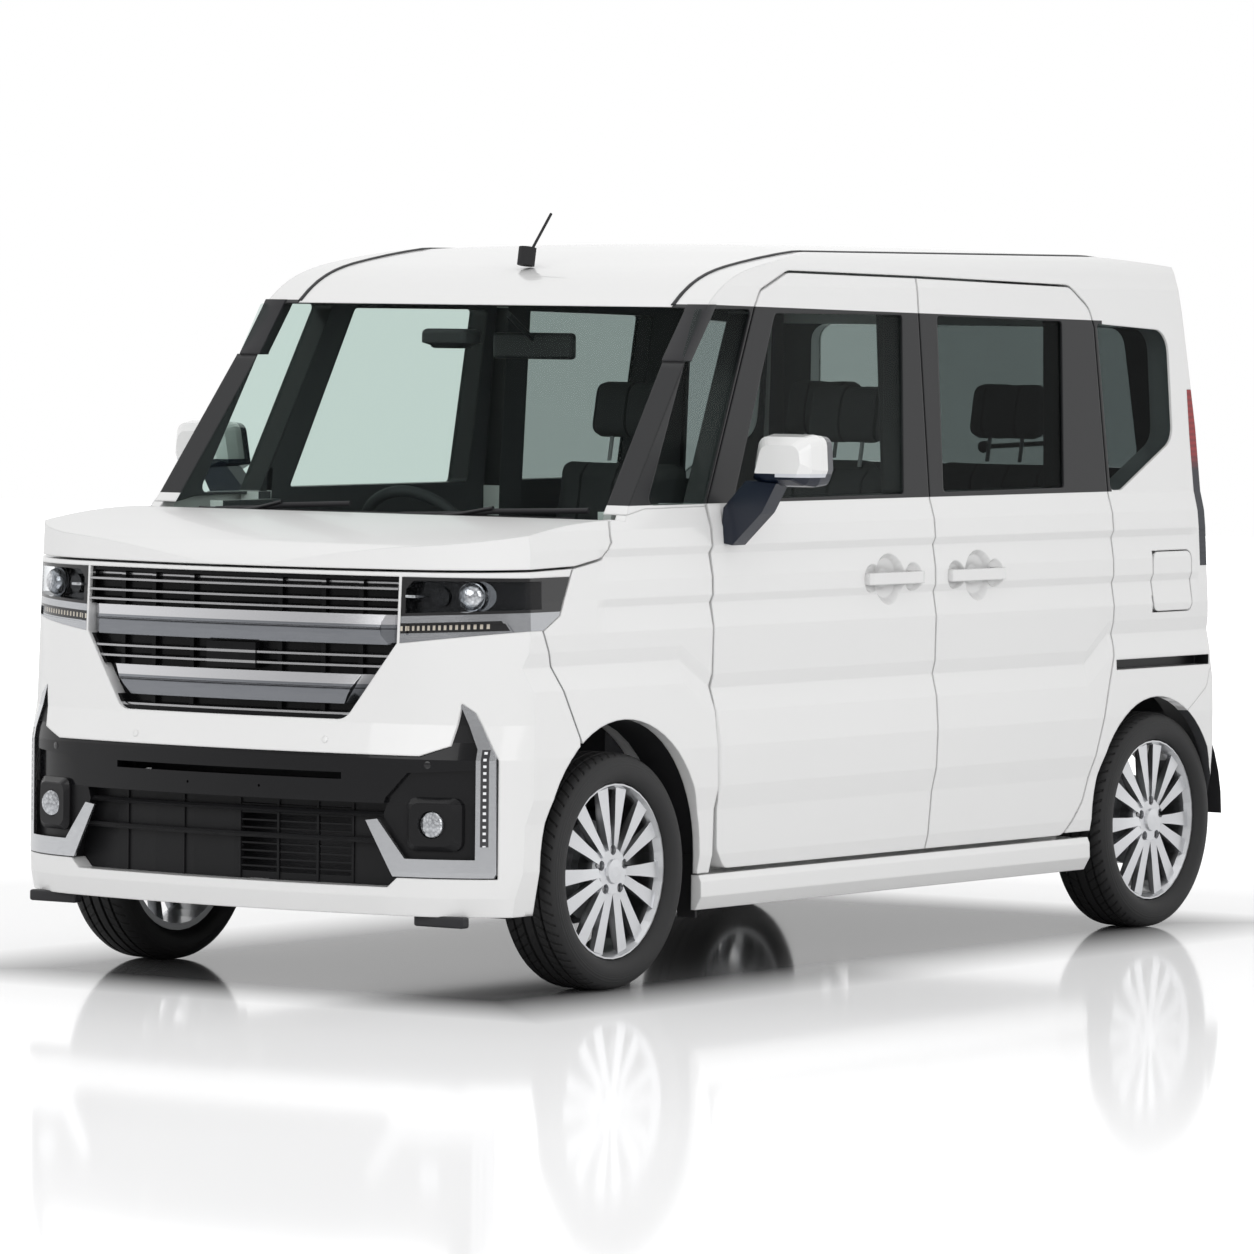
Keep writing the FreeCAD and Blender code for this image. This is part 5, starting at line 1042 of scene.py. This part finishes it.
# the tailgate's bright garnish
garnishPlan = {"halfWide": 0.36, "low": 0.955, "high": 0.990, "seen": 0.972, "sunk": 0.010, "proud": 0.009,
               "edge": 0.006}
place, outward = onto("tailgate", (0, behind, garnishPlan["seen"]), (0, -1, 0))
low = (-garnishPlan["halfWide"], place.y - garnishPlan["sunk"], garnishPlan["low"])
high = (garnishPlan["halfWide"], place.y + garnishPlan["proud"], garnishPlan["high"])
settle(roundedBlock("rearGarnish", low, high, garnishPlan["edge"]), "darkChrome", "tailgate", 30)

# rear wiper, from its pivot on the glass to its tip
rearWiper = {"pivot": (0.0, 1.235), "tip": (0.30, 1.255), "rootLift": 0.012, "tipLift": 0.010,
             "size": (0.012, 0.014),
             "pivotShape": ((-0.004, 0.016), (0.012, 0.016), (0.017, 0.010), (0.018, 0.0))}
place, outward = onto("tailgate_glass", (rearWiper["pivot"][0], behind, rearWiper["pivot"][1]), (0, -1, 0))
root = place + outward * rearWiper["rootLift"]
farPlace, farOutward = onto("tailgate_glass", (rearWiper["tip"][0], behind, rearWiper["tip"][1]), (0, -1, 0))
tip = farPlace + farOutward * rearWiper["tipLift"]
blade = pulled("rearBlade", [root, (root + tip) / 2, tip], *rearWiper["size"], "x")
pivot = turned("rearPivot", rearWiper["pivotShape"], place, outward, 24)
settle(joined("rearWiper", blade, pivot), "blackTrim", "tailgate", 40)

# reflectors, turned to lie along the rear bumper
reflector = {"inner": 0.50, "outer": 0.64, "height": 0.52, "half": 0.016, "sunk": 0.012, "proud": 0.004,
             "edge": 0.0035}
for side, name in ((1, "reflectorLeft"), (-1, "reflectorRight")):
    z = reflector["height"]
    middle = side * (reflector["inner"] + reflector["outer"]) / 2
    place, outward = onto("rear_bumper", (middle, behind, z), (0, -1, 0))
    lowX, highX = sorted((side * reflector["inner"], side * reflector["outer"]))
    low = (lowX, place.y - reflector["sunk"], z - reflector["half"])
    high = (highX, place.y + reflector["proud"], z + reflector["half"])
    item = roundedBlock(name, low, high, reflector["edge"])
    everything()
    bpy.ops.transform.rotate(value=math.atan2(outward.x, outward.y), orient_axis="Z", center_override=place)
    settle(item, "tailLens", "shell", 30)
print("rear fittings made")


# floor, backdrop and light
# underX, underY and underFade give the extent of the painted shadow under the car
stage = {"floor": 30.0, "gloss": 0.34, "floorColour": (0.83, 0.83, 0.835), "toCamera": (0.568, -0.823),
         "floorGlow": 0.15, "fadeFrom": 2.4, "fade": 3.0, "farGlow": 0.6, "nearFrom": 1.6, "nearGlow": 0.12,
         "underX": 0.66, "underY": 1.50, "underFade": 0.42, "underColour": (0.10, 0.10, 0.102),
         "worldLevel": 0.80, "topShare": 0.04, "darkShare": 0.6}
floor = begin("plane", "floor", size=2 * stage["floor"], location=(0, 0, 0))
ground = Finish("floor")
# painted shadow: the floor is darker and glows less under the car
awayX = ground.x.size() - stage["underX"]
awayY = ground.y.size() - stage["underY"]
beside = awayX.math("MAXIMUM", awayX, awayY)
outsidePaintedShadow = beside.over(stage["underFade"] / 2, stage["underFade"])
ground.set(Base_Color=ground.blend(outsidePaintedShadow, stage["underColour"], stage["floorColour"]), Roughness=0.9)
mirror = ground.add("ShaderNodeBsdfGlossy", Color=(1, 1, 1), Roughness=ease(ground.noise(0.8, 2), 0.05, 0.09))
# far from the car and nearest to the camera the floor fades to white
seen = Wire(ground.tree, ground.add("ShaderNodeLightPath").outputs["Is Camera Ray"])
away = ground.x * stage["toCamera"][0] + ground.y * stage["toCamera"][1]
reach = (ground.x * ground.x + ground.y * ground.y).root()
far = reach.over(stage["fadeFrom"] + stage["fade"] / 2, stage["fade"]) * away.under(1.0, 4.0)
glow = ground.add("ShaderNodeEmission", Color=(1, 1, 1))
near = away.over(stage["nearFrom"] + stage["fade"] / 2, stage["fade"])
brightness = far * stage["farGlow"] + near * stage["nearGlow"] + stage["floorGlow"]
# less glow in the painted shadow under the car
ground.feed(glow.inputs["Strength"], seen * brightness * outsidePaintedShadow)
total = ground.add("ShaderNodeAddShader")
ground.feed(total.inputs[0], ground.mixed(stage["gloss"], ground.shader, mirror).outputs[0])
ground.feed(total.inputs[1], glow.outputs[0])
floor.data.materials.append(ground.show(total))

world = bpy.data.worlds.new("studio")
scene.world = world
world.use_nodes = True
air = world.node_tree
back = air.nodes["Background"]
rays = air.nodes.new("ShaderNodeLightPath")
sky = air.nodes.new("ShaderNodeTexCoord")
split = air.nodes.new("ShaderNodeSeparateXYZ")
air.links.new(sky.outputs["Generated"], split.inputs[0])
height = Wire(air, split.outputs[2])
level = height.math("MULTIPLY_ADD", height, stage["topShare"], stage["worldLevel"], clamp=True)
shown = Wire(air, rays.outputs["Is Camera Ray"])
glossy = Wire(air, rays.outputs["Is Glossy Ray"])
through = Wire(air, rays.outputs["Is Transmission Ray"])
# in reflections the studio is darker behind the camera, which keeps black parts black in front
toX, toY = stage["toCamera"]
towards = Wire(air, split.outputs[0]) * toX + Wire(air, split.outputs[1]) * toY
dark = towards.over(0.20, 0.5) * height.under(0.75, 0.6)
visible = shown.math("MAXIMUM", shown, through)
reflected = glossy * (1 - visible)
strength = level * (1 - visible) * (1 - reflected) + visible + reflected * (1 - dark * stage["darkShare"])
air.links.new(strength.socket, back.inputs["Strength"])
back.inputs["Color"].default_value = (1, 1, 1, 1)


def lamp(name, place, target, size, energy):
    light = bpy.data.lights.new(name, "AREA")
    light.shape = "RECTANGLE"
    light.size, light.size_y = size
    light.energy = energy
    item = bpy.data.objects.new(name, light)
    aim = (Vector(target) - Vector(place)).to_track_quat("-Z", "Y").to_matrix().to_4x4()
    item.matrix_world = Matrix.Translation(place) @ aim
    scene.collection.objects.link(item)


lamp("topLight", (0.5, -1.0, 5.2), (0, 0, 0), (6.0, 4.0), 12)
lamp("sideLight", (6.5, -2.0, 3.2), (0, 0, 0.9), (5.0, 3.0), 78)
lamp("frontLight", (0.5, -7.5, 3.4), (0, -1.5, 0.7), (5.0, 3.0), 85)
scene.view_settings.view_transform = "Standard"
print("stage lit")
